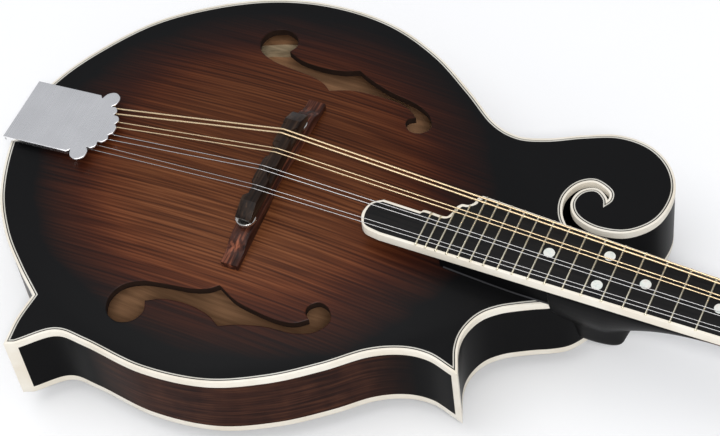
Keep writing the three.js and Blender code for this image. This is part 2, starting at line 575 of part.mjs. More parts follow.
function buildBridge() {
  const rosewood = paint('#33201a', 0.5);
  const chrome = paint('#c9c9cc', 0.2, 1);
  const foot = (y) => topZ(BRIDGE_PLACE[0], y + BRIDGE_PLACE[1]) + 1.5 * GAP;
  const under = [];
  for (let i = 0; i <= 12; i++) {
    const y = BASE_HALF * (i / 6 - 1);
    const lift = Math.max(0, 2.6 - (y / 11) ** 2);
    under.push(vec2(y, foot(y) + lift));
  }
  const shoulder = smooth([[BASE_HALF, foot(BASE_HALF) + 3.2], [49.5, 13.6], [44, 17], [40, BASE_TOP]], 6);
  const profile = [...under, ...shoulder, ...shoulder.map((p) => vec2(-p.x, p.y)).reverse()];
  let base = slabAlongX(profile, -4.9, 4.9);
  for (const side of [1, -1]) base = base.subtract(rod(0, side * BRIDGE_WHEEL_Y, 13.5, 30, 2.0, 12));
  add(bridgeFrame, 'bridge_base', base, rosewood);

  const end = [[35.6, 0], [36.6, 3.6], [35, 4.6], [28, SADDLE_CREST - SADDLE_BOTTOM]];
  const trebleEnd = end.map((p) => vec2(-p[0], SADDLE_BOTTOM + p[1]));
  const ends = [...end.map((p) => vec2(p[0], SADDLE_BOTTOM + p[1])), ...trebleEnd.reverse()];
  let saddle = slabAlongX(ends, -3.8, 5);
  // scallops that leave each course a narrow ridge at its own compensated place
  const relief = SADDLE_BOTTOM + 3.4;
  for (const [x, y, radius] of [[-5.6, 6.4, 5], [-5.6, -19.6, 5], [7.2, 19.4, 5], [7.8, -7.2, 5.6]]) {
    saddle = saddle.subtract(rod(x, y, relief, 40, radius, 14));
  }
  saddle = saddle.subtract(box(-9, -3, -40, 40, SADDLE_BOTTOM - 1, SADDLE_BOTTOM + 2.4));
  for (const course of COURSES) saddle = saddle.subtract(stringRamp(course));
  for (const side of [1, -1]) {
    const y = side * BRIDGE_WHEEL_Y;
    saddle = saddle.subtract(rod(0, y, 20, SADDLE_BOTTOM + SADDLE_BORE, 2.0, 12));
    const wheel = rod(0, y, WHEEL_Z, WHEEL_Z + WHEEL_THICK, 5.4, 20).subtract(rod(0, y, 19, 30, 1.75, 12));
    const tag = side > 0 ? 'bass' : 'treble';
    add(bridgeFrame, `bridge_thumbwheel_${tag}`, wheel, chrome);
    add(bridgeFrame, `bridge_post_${tag}`, rod(0, y, 13.9, SADDLE_BOTTOM + POST_REACH, 1.6, 12), chrome);
  }
  add(bridgeFrame, 'bridge_saddle', saddle, rosewood);
}

// ---- strings: name, side of the course, place on the saddle, thickness ----
const WOUND = paint('#b98b52', 0.35, 0.9);
const PLAIN = paint('#cfcfd2', 0.25, 1);
const COURSES = [
  { note: 'g', at: 3, saddleX: -1.2, radius: 0.51, material: WOUND, post: 0 },
  { note: 'd', at: 1, saddleX: 1.2, radius: 0.33, material: WOUND, post: 2 },
  { note: 'a', at: -1, saddleX: -1.4, radius: 0.2, material: PLAIN, post: 2 },
  { note: 'e', at: -3, saddleX: 0.2, radius: 0.16, material: PLAIN, post: 0 },
];
const POST_RADIUS = 3;
const POST_WAIST = POST_RADIUS - 0.6;   // the string winds round the narrowed part of the post
const WRAP_GAP = 0.25;
const HOOK_X = -140.2;
const COMB_X = -113.1;
const COMB_Y = 0.8;               // the middle of the tailpiece's hooks
const COMB_STEP = 4.2;            // half the distance between neighbouring courses at the tailpiece
const COMB_PAIR = 1.85;
const NUT_Y = 0.7;                // the middle of the nut's slots
const combY = (course, twin) => COMB_Y + course.at * COMB_STEP + twin * COMB_PAIR;

// a round wire along straight runs, mitred at each bend
function wire(points, radius, sides) {
  const runs = points.map((p) => new THREE.Vector3(...p));
  const rings = runs.map((p, i) => {
    const along = runs[Math.min(i + 1, runs.length - 1)].clone().sub(runs[Math.max(i - 1, 0)]).normalize();
    const across = new THREE.Vector3(0, 0, 1).cross(along).normalize();
    const up = along.clone().cross(across);
    return { p, across, up };
  });
  const last = runs.length - 1;
  return reshape(new THREE.CylinderGeometry(1, 1, last, sides, last), (u, v, w) => {
    const ring = rings[Math.round(last / 2 - v)];
    const at = ring.p.clone().addScaledVector(ring.across, -w * radius).addScaledVector(ring.up, u * radius);
    return [at.x, at.y, at.z];
  });
}

function buildStrings() {
  const toNeck = new THREE.Matrix4().makeRotationY(NECK_ANGLE * Math.PI / 180)
    .setPosition(0, 0, FRET_PLANE_Z);
  const toHead = toNeck.clone().multiply(headPlacement());
  for (const course of COURSES) {
    for (const twin of [1, -1]) {
      const nutY = NUT_Y + course.at * 3.5 + twin * 1.05;
      const side = Math.sign(course.at);
      const outer = twin === side;
      const slot = course.post + (outer ? 0 : 1);
      const rest = course.radius + 0.22;
      const nut = new THREE.Vector3(NUT_X + 1, nutY, NUT_CREST + rest).applyMatrix4(toNeck);
      const nutBack = new THREE.Vector3(NUT_X + 4.9, nutY, NUT_CREST + rest).applyMatrix4(toNeck);
      const ridge = new THREE.Vector3(course.saddleX, course.at * SADDLE_STEP + twin * SADDLE_PAIR,
        SADDLE_CREST + rest);
      const points = [
        [HOOK_X, combY(course, twin), 3.4 + rest],
        [COMB_X, combY(course, twin), 6.85 + rest],
        ridge.applyMatrix4(bridgePlacement()).toArray(),
        nut.toArray(),
        nutBack.toArray(),
      ];
      const grip = POST_WAIST + course.radius + WRAP_GAP;
      for (let i = 0; i <= 6; i++) {
        const turn = side * (-Math.PI / 2 + i * Math.PI / 4);
        const z = 9 - 0.2 * i;
        const around = new THREE.Vector3(postX(slot) + grip * Math.cos(turn),
          side * POST_ROW + grip * Math.sin(turn), z);
        points.push(around.applyMatrix4(toHead).toArray());
      }
      const name = `string_${course.note}_${outer ? 'outer' : 'inner'}`;
      add(instrument, name, wire(points, course.radius, 5), course.material);
    }
  }
}

// ---- tailpiece ----
const COVER_PITCH = -6.5;         // degrees; the cover climbs towards the bridge
const COVER_BACK = [-160.2, 5];   // x and height of its rear top edge

function coverOutline() {
  const half = [[0, -20.6], [41, -20.6], [42.6, -18.6]];
  const ear = [[42.6, -18.6], [44.6, -22.6], [48.8, -24.2], [52.6, -21.6], [52.8, -17.4], [50.6, -14.6]];
  const lobes = [[[50.6, -14.6], [53.6, -14.8], [55.6, -12.4], [55, -9.6]],
    [[55, -9.6], [58, -9.2], [59.8, -6.6], [58.8, -4]], [[58.8, -4], [60.6, -2.2], [61, 0]]];
  const treble = half.slice(0, -1).map((p) => vec2(...p));
  treble.push(...smooth(ear, 8).slice(0, -1));
  for (const lobe of lobes) treble.push(...smooth(lobe, 3).slice(0, -1));
  const bass = treble.map((p) => vec2(p.x, -p.y)).reverse();
  return [...treble, vec2(61, 0), ...bass];
}

function buildTailpiece() {
  const chrome = paint('#d8d8dc', 0.18, 1);
  const sheet = 0.9;
  const skirt = 3.2;
  let cover = prism(coverOutline(), -sheet, 0);
  for (const side of [1, -1]) {
    const y = side * (20.6 - sheet / 2);
    cover = cover.add(box(0, 41, y - sheet / 2, y + sheet / 2, -skirt, -sheet / 2));
  }
  cover = cover.add(box(0, sheet, -20.6, 20.6, -skirt, -sheet / 2));
  add(coverFrame, 'tailpiece_cover', cover, chrome);

  let base = box(1.4, 47.4, -18.6, 18.6, -4.6, -3.8);
  for (const course of COURSES) {
    for (const twin of [1, -1]) {
      const y = combY(course, twin);
      base = base.add(box(18.4, 19.3, y - 0.9, y + 0.9, -4, -1.5));
    }
  }
  base = base.add(box(46.4, 47.4, -18.6, 18.6, -4.6, -3.5));
  const placed = toGeometry(base).rotateY(COVER_PITCH * Math.PI / 180);
  placed.translate(COVER_BACK[0], 0, COVER_BACK[1]);
  const bend = box(-161.2, -158, -12, 12, 0.5, 1.3);
  const drop = box(-161.2, -160.3, -12, 12, -36, 1.3);
  const whole = toSolid(placed).add(bend).add(drop).subtract(pinHole());
  add(instrument, 'tailpiece_base', whole, chrome);
  const pin = turned([[0, 0], [3, 0], [3, 12.6], [4.8, 12.8], [5.2, 13.8], [3.9, 15.2], [4.2, 17.2], [5.6, 18.6],
    [5, 19.9], [2.6, 20.6], [0, 20.7]], 14);
  pin.rotateY(-Math.PI / 2).translate(-149, 0, PIN_Z);
  add(instrument, 'end_pin', pin, paint('#151515', 0.35));
}

const PIN_Z = -RIM_DEPTH / 2;
function pinHole() {
  const bore = new THREE.CylinderGeometry(3.4, 3.4, 40, 14).rotateZ(Math.PI / 2);
  return toSolid(bore.translate(-160, 0, PIN_Z));
}

// ---- tuners, in the headstock frame ----
const GEAR_RADIUS = 5.6;
const WORM_RADIUS = 1.8;
const WORM_OFFSET = GEAR_RADIUS + WORM_RADIUS + GAP;
const PLATE_BACK = HEAD_BACK - GAP - 1.2;
const GEAR_TOP = PLATE_BACK - GAP;
const GEAR_THICK = 3.6;

function buildTuners() {
  const nickel = paint('#bdbdc0', 0.25, 1);
  const pearl = paint('#e6e1d2', 0.3);
  for (const side of [1, -1]) {
    const tag = side > 0 ? 'bass' : 'treble';
    const y = side * POST_ROW;
    let plate = box(postX(0) - 18, postX(3) + 9, y - 7, y + 7, PLATE_BACK, PLATE_BACK + 1.2);
    for (let i = 0; i < 4; i++) {
      const worm = postX(i) - WORM_OFFSET;
      plate = plate.subtract(rod(postX(i), y, PLATE_BACK - 1, PLATE_BACK + 3, 3.8, 8));
      for (const across of [-1, 1]) {
        const bearingY = y + across * 5.6;
        const bearing = box(worm - 3, worm + 3, bearingY - 1, bearingY + 1, PLATE_BACK - GEAR_THICK - 1.4,
          PLATE_BACK + 0.1);
        const bore = new THREE.CylinderGeometry(1.6, 1.6, 4, 8);
        bore.translate(worm, bearingY, GEAR_TOP - GEAR_THICK / 2);
        plate = plate.add(bearing).subtract(toSolid(bore));
      }
      const post = turned([[0, GEAR_TOP - GEAR_THICK], [GEAR_RADIUS, GEAR_TOP - GEAR_THICK],
        [GEAR_RADIUS, GEAR_TOP], [POST_RADIUS, GEAR_TOP], [POST_RADIUS, 6.4], [2.1, 7], [2.1, 10.6],
        [POST_RADIUS, 11.4], [2.6, 14], [0, 14]], 9);
      add(headFrame, `tuner_post_${tag}_${i + 1}`, post.translate(postX(i), y, 0), nickel);
      const shaft = turned([[0, -8], [1.4, -8], [1.4, -3.8], [WORM_RADIUS, -3.4], [WORM_RADIUS, 3.4],
        [1.4, 3.8], [1.4, 15], [3.4, 16.4], [6.4, 20], [6.8, 23.5], [4.8, 27], [0, 28]], 9);
      flattenButton(shaft);
      shaft.rotateX(-side * Math.PI / 2).translate(worm, y, GEAR_TOP - GEAR_THICK / 2);
      add(headFrame, `tuner_button_${tag}_${i + 1}`, shaft, pearl);
    }
    add(headFrame, `tuner_plate_${tag}`, plate, nickel);
  }
}

// the button at the shaft's end is an oval disc rather than a ball
function flattenButton(shaft) {
  const position = shaft.attributes.position;
  for (let i = 0; i < position.count; i++) {
    if (position.getZ(i) > 15.5) position.setY(i, position.getY(i) * 0.55);
  }
}

buildPlates();
buildRibs();
buildBindings();
buildLinings();
buildBlocks();
buildToneBars();
buildFingerboard();
buildNeck();
buildNutAndRod();
buildBridge();
buildStrings();
buildTailpiece();
buildTuners();

// ---- assembly: headstock on the neck, then neck, bridge and tailpiece cover on the body ----
headFrame.applyMatrix4(headPlacement());
neckFrame.add(headFrame);
neckFrame.rotation.y = NECK_ANGLE * Math.PI / 180;
neckFrame.position.z = FRET_PLANE_Z;
coverFrame.rotation.y = COVER_PITCH * Math.PI / 180;
coverFrame.position.set(COVER_BACK[0], 0, COVER_BACK[1]);
bridgeFrame.applyMatrix4(bridgePlacement());
instrument.add(neckFrame, coverFrame, bridgeFrame);

// the finished instrument lies on its back, with the middle of its outline over the origin
instrument.updateMatrixWorld(true);
const bounds = new THREE.Box3().setFromObject(instrument, true);
instrument.position.set(-(bounds.min.x + bounds.max.x) / 2, -(bounds.min.y + bounds.max.y) / 2, -bounds.min.z);
group.add(instrument);

export default group;
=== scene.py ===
"""The looks of an F-style mandolin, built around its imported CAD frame.

Shapes are drawn in millimetres in the instrument's own frame: x = 0 at the bridge's end of the string
length and +X towards the headstock, +Y on the bass side, z = 0 at the flat rim of the top. ROW turns that
into the frame's metres.
"""
import math

import bmesh
import bpy
import numpy as np
from mathutils import Matrix, Vector
from mathutils.geometry import delaunay_2d_cdt
from mathutils.kdtree import KDTree


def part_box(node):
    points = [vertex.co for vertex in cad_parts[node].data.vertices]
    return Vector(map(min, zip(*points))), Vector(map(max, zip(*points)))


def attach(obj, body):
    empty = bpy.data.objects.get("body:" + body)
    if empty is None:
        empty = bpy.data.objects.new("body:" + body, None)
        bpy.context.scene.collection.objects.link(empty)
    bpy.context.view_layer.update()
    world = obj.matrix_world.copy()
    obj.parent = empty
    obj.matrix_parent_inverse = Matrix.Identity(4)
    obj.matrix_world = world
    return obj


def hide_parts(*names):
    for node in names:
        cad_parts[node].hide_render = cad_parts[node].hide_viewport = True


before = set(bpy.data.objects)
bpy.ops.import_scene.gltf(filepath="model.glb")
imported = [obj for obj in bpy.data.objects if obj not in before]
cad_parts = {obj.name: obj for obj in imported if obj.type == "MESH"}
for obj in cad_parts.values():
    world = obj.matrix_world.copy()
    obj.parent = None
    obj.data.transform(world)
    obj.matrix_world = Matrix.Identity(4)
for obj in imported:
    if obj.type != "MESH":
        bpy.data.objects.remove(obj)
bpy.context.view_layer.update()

# ---- driving dimensions, as in the CAD ----
SCALE = 352.4              # vibrating string length
RIM_DEPTH = 48
TOP_ARCH = 12.5
BACK_ARCH = 13
PLATE = 4.7
BINDING = 2.4
EDGE = 1
RIB = 2
GAP = 0.3
NECK_ANGLE = 2
FRET_PLANE_Z = 28.8
STRING_HEIGHT = 3.1
NUT_CREST = 0.3
FRET_COUNT = 24
FRET_HEIGHT = 1.1
BOARD_THICK = 5.5
BOARD_HALF_NUT = 13.8
BOARD_TAPER = 0.0272
BOARD_BINDING = 1.5
HEAD_ANGLE = 15
HEAD_THICK = 13
OVERLAY = 1.6
FIRST_POST = 40            # from the headstock's start
POST_SPACING = 23
POST_ROW = 21
POST_RADIUS = 3
BRIDGE_PLACE = (-2.4, -1.4)
BRIDGE_TURN = 0.9
WHEEL_Y = 32.8             # bridge posts from the bridge's centre
POST_FOOT = 13.9           # height of the bridge posts' lower ends
COVER_PITCH = -6.5
SIDES = ((1, "bass"), (-1, "treble"))

RIB_TOP = -PLATE - GAP
RIB_BOTTOM = -RIM_DEPTH + PLATE + GAP
BOARD_TOP = -FRET_HEIGHT
BOARD_BOTTOM = BOARD_TOP - BOARD_THICK
NECK_TOP = BOARD_BOTTOM - GAP
HEEL_X = 176
HEEL_BOTTOM = -RIM_DEPTH + 4.2
NUT_X = SCALE + 0.2
HEAD_START = SCALE + 7
HEAD_BACK = -OVERLAY - GAP - HEAD_THICK
SADDLE_CREST = FRET_PLANE_Z + STRING_HEIGHT - 0.5

# ---- frames ----
_low, _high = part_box("bridge_post_bass")
_turn = math.radians(BRIDGE_TURN)
BRIDGE_FOOT = Vector(((_low.x + _high.x) / 2 - (BRIDGE_PLACE[0] - WHEEL_Y * math.sin(_turn)) / 1000,
                      (_low.y + _high.y) / 2 - (BRIDGE_PLACE[1] + WHEEL_Y * math.cos(_turn)) / 1000,
                      _low.z - POST_FOOT / 1000))
ROW = Matrix.Translation(BRIDGE_FOOT) @ Matrix.Scale(0.001, 4)


def shift(x, y, z):
    return Matrix.Translation((x, y, z))


def turn(degrees, axis):
    return Matrix.Rotation(math.radians(degrees), 4, axis)


BODY = Matrix.Identity(4)
NECK = shift(0, 0, FRET_PLANE_Z) @ turn(NECK_ANGLE, "Y")
HEAD = NECK @ shift(HEAD_START, 0, -4) @ turn(HEAD_ANGLE, "Y")
COVER = shift(-160.2, 0, 5) @ turn(COVER_PITCH, "Y")
BRIDGE = shift(*BRIDGE_PLACE, 0) @ turn(BRIDGE_TURN, "Z")


# ---- curves ----
def curve(controls, steps, closed=False):
    """A smooth line through the controls: Catmull-Rom with evenly spaced parameters."""
    p = np.array(controls, float)
    if closed:
        p = np.vstack([p[-1], p, p[0], p[1]])
    else:
        p = np.vstack([2 * p[0] - p[1], p, 2 * p[-1] - p[-2]])
    spans = len(p) - 3
    t = np.linspace(0, spans, steps + 1)
    i = np.minimum(t.astype(int), spans - 1)
    w = (t - i)[:, None]
    a, b, c, d = p[i], p[i + 1], p[i + 2], p[i + 3]
    m, n = (c - a) / 2, (d - b) / 2
    line = b + m * w + (3 * (c - b) - 2 * m - n) * w**2 + (2 * (b - c) + m + n) * w**3
    return line[:-1] if closed else line


def respaced(line, count):
    """The same line with evenly spaced points."""
    gaps = np.linalg.norm(np.diff(line, axis=0), axis=1)
    along = np.concatenate([[0], np.cumsum(gaps)])
    marks = np.linspace(0, along[-1], count + 1)
    return np.column_stack([np.interp(marks, along, line[:, k]) for k in range(line.shape[1])])


def moved_sideways(line, distance, closed=False):
    if closed:
        along = np.roll(line, -1, axis=0) - np.roll(line, 1, axis=0)
    else:
        ends = np.vstack([line[:1], line, line[-1:]])
        along = ends[2:] - ends[:-2]
    along /= np.linalg.norm(along, axis=1)[:, None]
    return line + distance * np.column_stack([-along[:, 1], along[:, 0]])


def lengthened(line, reach):
    first = line[0] + reach * (line[0] - line[1]) / np.linalg.norm(line[0] - line[1])
    last = line[-1] + reach * (line[-1] - line[-2]) / np.linalg.norm(line[-1] - line[-2])
    return np.vstack([first, line, last])


def cut_at_crossing(first, second):
    """Two lines trimmed to where the end of one crosses the start of the other."""
    c, d = second[:-1], second[1:]
    s = d - c
    for i in range(len(first) - 2, -1, -1):
        a, r = first[i], first[i + 1] - first[i]
        det = r[0] * s[:, 1] - r[1] * s[:, 0]
        det[np.abs(det) < 1e-9] = np.inf
        gap = c - a
        t = (gap[:, 0] * s[:, 1] - gap[:, 1] * s[:, 0]) / det
        u = (gap[:, 0] * r[1] - gap[:, 1] * r[0]) / det
        hits = np.flatnonzero((t >= 0) & (t <= 1) & (u >= 0) & (u <= 1) & np.isfinite(det))
        if len(hits):
            j = hits[0]
            corner = a + t[j] * r
            return np.vstack([first[:i + 1], corner]), np.vstack([corner, second[j + 1:]])
    return first[:-1], second[1:]


# ---- the body's plan, along the inner line of its purfling ----
NECK_CURVE = [[172.8, 5], [170.3, 0.9], [166.9, -4.5], [163, -8.8], [156.2, -12.9], [149.2, -16.2],
              [140, -21.1], [133.6, -25.2], [127.2, -31.3], [123.2, -38.8], [121.4, -47.8], [122.6, -57],
              [126.5, -67]]
WAIST_CURVE = [[126.5, -67], [112, -63.2], [97, -65], [81, -73], [63, -88.5], [40, -105], [12, -118],
               [-22, -122.2], [-56, -118.2], [-75, -118.3], [-91.2, -132.4]]
POINT_END = [[-91.2, -132.4], [-93.2, -133.2]]
POINT_CURVE = [[-93.2, -133.2], [-94.4, -120], [-93.2, -103.4]]
BASS_CURVE = [[-93.2, -103.4], [-111, -89], [-128, -72.7], [-143, -51.3], [-153.5, -24], [-157.3, 0],
              [-153.5, 24], [-142.5, 50], [-120.5, 82.5], [-92, 106], [-61, 122], [-28, 129], [7, 127],
              [39, 115], [66, 97.2], [86.5, 82], [103, 77.3], [119, 81.2], [137, 90], [154, 96.3],
              [171, 95.2], [184.4, 86.4], [191.6, 72], [189.8, 54.4], [179.2, 42.4], [165, 38.8],
              [153.2, 41.4], [147.6, 48], [148.9, 55.5], [154.5, 59.1], [160, 56], [162.2, 50.9]]
SLOT_CURVE = [[162.2, 50.9], [165.2, 57], [162.6, 63.3], [152, 66.9], [143, 61.3], [139, 50],
              [142.3, 37.7], [152, 27], [162, 19.5], [169, 12.8], [172.8, 5]]
OUTLINE = [(NECK_CURVE, 90), (WAIST_CURVE, 230), (POINT_END, 3), (POINT_CURVE, 30), (BASS_CURVE, 420),
           (SLOT_CURVE, 110)]
_loops = {}


def body_loop(grow):
    """The body's outline grown by a distance. Point i of one loop lies beside point i of any other."""
    if grow not in _loops:
        runs = [lengthened(moved_sideways(curve(controls, 12 * len(controls)), grow), abs(grow) * 3 + 0.5)
                for controls, _ in OUTLINE]
        for i in range(len(runs)):
            after = (i + 1) % len(runs)
            runs[i], runs[after] = cut_at_crossing(runs[i], runs[after])
        _loops[grow] = np.vstack([respaced(run, count)[:-1] for run, (_, count) in zip(runs, OUTLINE)])
    return _loops[grow]


def dome(x, y):
    half_width = np.where(y > 0, 127, 122) - np.where(y > 0, 0.25, 0.36) * np.maximum(x, 0)
    r2 = ((x + 5) / 150) ** 2 + (y / half_width) ** 2
    return np.clip(1 - r2, 0, 1) ** 1.5


def top_z(x, y):
    return TOP_ARCH * dome(x, y)


def back_z(x, y):
    return -RIM_DEPTH - BACK_ARCH * dome(x, y)


# ---- meshes ----
def carried(points, place):
    """Points taken through a matrix."""
    place = np.array(place)
    return np.asarray(points, float) @ place[:3, :3].T + place[:3, 3]


def placed(name, data):
    made = bpy.data.objects.new(name, data)
    bpy.context.scene.collection.objects.link(made)
    return made


def finish_mesh(mesh, smooth):
    bm = bmesh.new()
    bm.from_mesh(mesh)
    bmesh.ops.recalc_face_normals(bm, faces=bm.faces)
    bm.to_mesh(mesh)
    bm.free()
    mesh.polygons.foreach_set("use_smooth", [True] * len(mesh.polygons))
    mesh.set_sharp_from_angle(angle=math.radians(smooth))
    mesh.update()


def piece(name, points, faces, material, slot, at=BODY, body="instrument", node=None, smooth=35,
          face_slots=None):
    """A mesh object from millimetre points in one of the frames above."""
    mesh = bpy.data.meshes.new(name)
    mesh.from_pydata(carried(points, ROW @ at).tolist(), [], [tuple(int(i) for i in face) for face in faces])
    for one in material if isinstance(material, list) else [material]:
        mesh.materials.append(one)
    if face_slots is not None:
        mesh.polygons.foreach_set("material_index", face_slots)
    finish_mesh(mesh, smooth)
    made = placed(name, mesh)
    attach(made, body)
    if node:
        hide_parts(node)
    return made


def grid_faces(rows, columns, wrap_rows=False, wrap_columns=False, caps=False):
    """Quads over a grid of points stored row by row."""
    faces = []
    for i in range(rows if wrap_rows else rows - 1):
        for j in range(columns if wrap_columns else columns - 1):
            k, n = (i + 1) % rows, (j + 1) % columns
            faces.append((i * columns + j, i * columns + n, k * columns + n, k * columns + j))
    if caps:
        faces.append(tuple(range(columns)))
        faces.append(tuple((rows - 1) * columns + j for j in range(columns)))
    return faces


def closed_tube(rows):
    """Rings of points as a tube with both ends capped."""
    return np.vstack(rows), grid_faces(len(rows), len(rows[0]), wrap_columns=True, caps=True)


def joined(*parts):
    """Several (points, faces) as one."""
    points, faces, base = [], [], 0
    for some_points, some_faces in parts:
        points.append(np.asarray(some_points, float))
        faces += [tuple(i + base for i in face) for face in some_faces]
        base += len(some_points)
    return np.vstack(points), faces


def band(profile, start=None, end=None):
    """A strip that follows the body's outline; profile is a closed loop of (grow, z). With start and end
    it is only that stretch of the outline, closed at both ends."""
    loops = [body_loop(grow) for grow, _ in profile]
    whole = start is None
    if whole:
        picks = np.arange(len(loops[0]))
    else:
        picks = np.arange(start, end + 1) % len(loops[0])
    rows = [np.column_stack([[loop[i][0], loop[i][1], z] for loop, (_, z) in zip(loops, profile)]).T
            for i in picks]
    return np.vstack(rows), grid_faces(len(picks), len(profile), whole, True, not whole)


def inside(points, loop):
    x, y = points[:, 0][:, None], points[:, 1][:, None]
    a, b = loop, np.roll(loop, -1, axis=0)
    spans = (a[:, 1] > y) != (b[:, 1] > y)
    rise = np.where(b[:, 1] == a[:, 1], 1e-12, b[:, 1] - a[:, 1])
    cross_x = a[:, 0] + (y - a[:, 1]) * (b[:, 0] - a[:, 0]) / rise
    return (np.sum(spans & (x < cross_x), axis=1) % 2).astype(bool)


def region(edge, holes=(), lines=(), spacing=4.0):
    """Triangles over the area inside edge and outside holes, with even corners in between and with edges
    along each of lines."""
    rings = [edge, *holes, *lines]
    corners = np.vstack(rings)
    tree = KDTree(len(corners))
    for i, p in enumerate(corners):
        tree.insert((p[0], p[1], 0), i)
    tree.balance()
    low, high = edge.min(0), edge.max(0)
    xs = np.arange(low[0], high[0], spacing)
    ys = np.arange(low[1], high[1], spacing * 0.866)
    grid = np.array([(x + (k % 2) * spacing / 2, y) for k, y in enumerate(ys) for x in xs])
    keep = inside(grid, edge)
    for hole in holes:
        keep &= ~inside(grid, hole)
    grid = np.array([p for p in grid[keep] if tree.find((p[0], p[1], 0))[2] > spacing * 0.6]).reshape(-1, 2)
    borders, base = [], 0
    for ring in rings:
        n = len(ring)
        borders += [(base + i, base + (i + 1) % n) for i in range(n)]
        base += n
    every = np.vstack([corners, grid])
    made = delaunay_2d_cdt([Vector(p) for p in every.tolist()], borders, [], 0, 1e-5)
    flat = np.array([v[:] for v in made[0]])
    triangles = np.array([face for face in made[2]])
    middle = flat[triangles].mean(axis=1)
    keep = inside(middle, edge)
    for hole in holes:
        keep &= ~inside(middle, hole)
    return flat, triangles[keep]


def shell(flat, triangles, upper, lower, drop=0.0):
    """A plate between two height functions. Its upper edge is lowered by drop, to soften it."""
    n = len(flat)
    directed = {(int(t[i]), int(t[(i + 1) % 3])) for t in triangles for i in range(3)}
    rim = [(a, b) for a, b in directed if (b, a) not in directed]
    high = upper(flat[:, 0], flat[:, 1]) + np.zeros(n)
    high[sorted({a for edge in rim for a in edge})] -= drop
    low = lower(flat[:, 0], flat[:, 1]) + np.zeros(n)
    points = np.vstack([np.column_stack([flat, high]), np.column_stack([flat, low])])
    faces = [tuple(t) for t in triangles]
    faces += [tuple(t + n)[::-1] for t in triangles]
    faces += [(b, a, a + n, b + n) for a, b in rim]
    kinds = [0] * len(triangles) + [1] * len(triangles) + [2] * len(rim)
    return points, faces, kinds


def slab(line, z0, z1, bevel=0.3, steps=3):
    """A closed outline as a flat piece with rounded upper and lower edges."""
    line = np.asarray(line, float)
    rows = []
    for side in (0, 1):
        for k in range(steps + 1):
            arc = math.pi / 2 * (k / steps if side == 0 else 1 - k / steps)
            inset = bevel * (1 - math.sin(arc))
            lift = bevel * (1 - math.cos(arc))
            z = z0 + lift if side == 0 else z1 - lift
            ring = moved_sideways(line, inset * winding(line), closed=True)
            rows.append(np.column_stack([ring, np.full(len(ring), z)]))
    return closed_tube(rows)


def winding(line):
    """+1 where the inside of a closed line is on its left."""
    x, y = line[:, 0], line[:, 1]
    return 1 if np.sum(x * np.roll(y, -1) - y * np.roll(x, -1)) > 0 else -1


def around(sides):
    return np.linspace(0, 2 * math.pi, sides, endpoint=False)


def circle(radius, z, angles):
    """A ring of points about z; radius is one number, or one for each angle."""
    return np.column_stack([radius * np.cos(angles), radius * np.sin(angles), z + 0 * angles])


def lathe(profile, sides):
    """A profile of (radius, height) turned about z, closed at its ends."""
    return closed_tube([circle(r, z, around(sides)) for r, z in profile])


def hollow_lathe(profile, sides):
    """A closed profile of (radius, height) turned about z, with a hole through its middle."""
    rows = [[(r * math.cos(a), r * math.sin(a), z) for r, z in profile] for a in around(sides)]
    return np.vstack(rows), grid_faces(sides, len(profile), True, True)


def tube(path, radius, sides=10):
    """A round wire along a path, its ring directions carried smoothly from point to point."""
    path = np.array(path, float)
    ends = np.vstack([path[:1], path, path[-1:]])
    along = ends[2:] - ends[:-2]
    along /= np.linalg.norm(along, axis=1)[:, None]
    side = np.cross(along[0], [0, 0, 1.0])
    angles = around(sides)[:, None]
    rows = []
    for p, direction in zip(path, along):
        side = side - direction * np.dot(side, direction)
        side /= np.linalg.norm(side)
        up = np.cross(side, direction)
        rows.append(p + radius * (np.cos(angles) * side + np.sin(angles) * up))
    return closed_tube(rows)


def refined(node, material, body="instrument", bevel=0.25, flat=1.5, smooth=30):
    """A copy of a CAD node with its facets merged into whole faces and its edges rounded."""
    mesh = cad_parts[node].data.copy()
    mesh.materials.clear()
    mesh.materials.append(material)
    bm = bmesh.new()
    bm.from_mesh(mesh)
    bmesh.ops.remove_doubles(bm, verts=bm.verts, dist=1e-6)
    bmesh.ops.dissolve_limit(bm, angle_limit=math.radians(flat), verts=bm.verts, edges=bm.edges)
    bm.to_mesh(mesh)
    bm.free()
    made = placed(node + "_shaped", mesh)
    rounding = made.modifiers.new("rounding", "BEVEL")
    rounding.width = bevel / 1000
    rounding.segments = 2
    rounding.limit_method = "ANGLE"
    rounding.angle_limit = math.radians(25)
    apply_modifiers(made)
    finish_mesh(made.data, smooth)
    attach(made, body)
    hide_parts(node)
    return made


def apply_modifiers(made):
    graph = bpy.context.evaluated_depsgraph_get()
    done = bpy.data.meshes.new_from_object(made.evaluated_get(graph))
    made.modifiers.clear()
    made.data = done


def measure_along(made, values, name):
    """A vector per corner point that a material can read."""
    attribute = made.data.attributes.new(name, "FLOAT_VECTOR", "POINT")
    attribute.data.foreach_set("vector", np.asarray(values, np.float32).ravel())


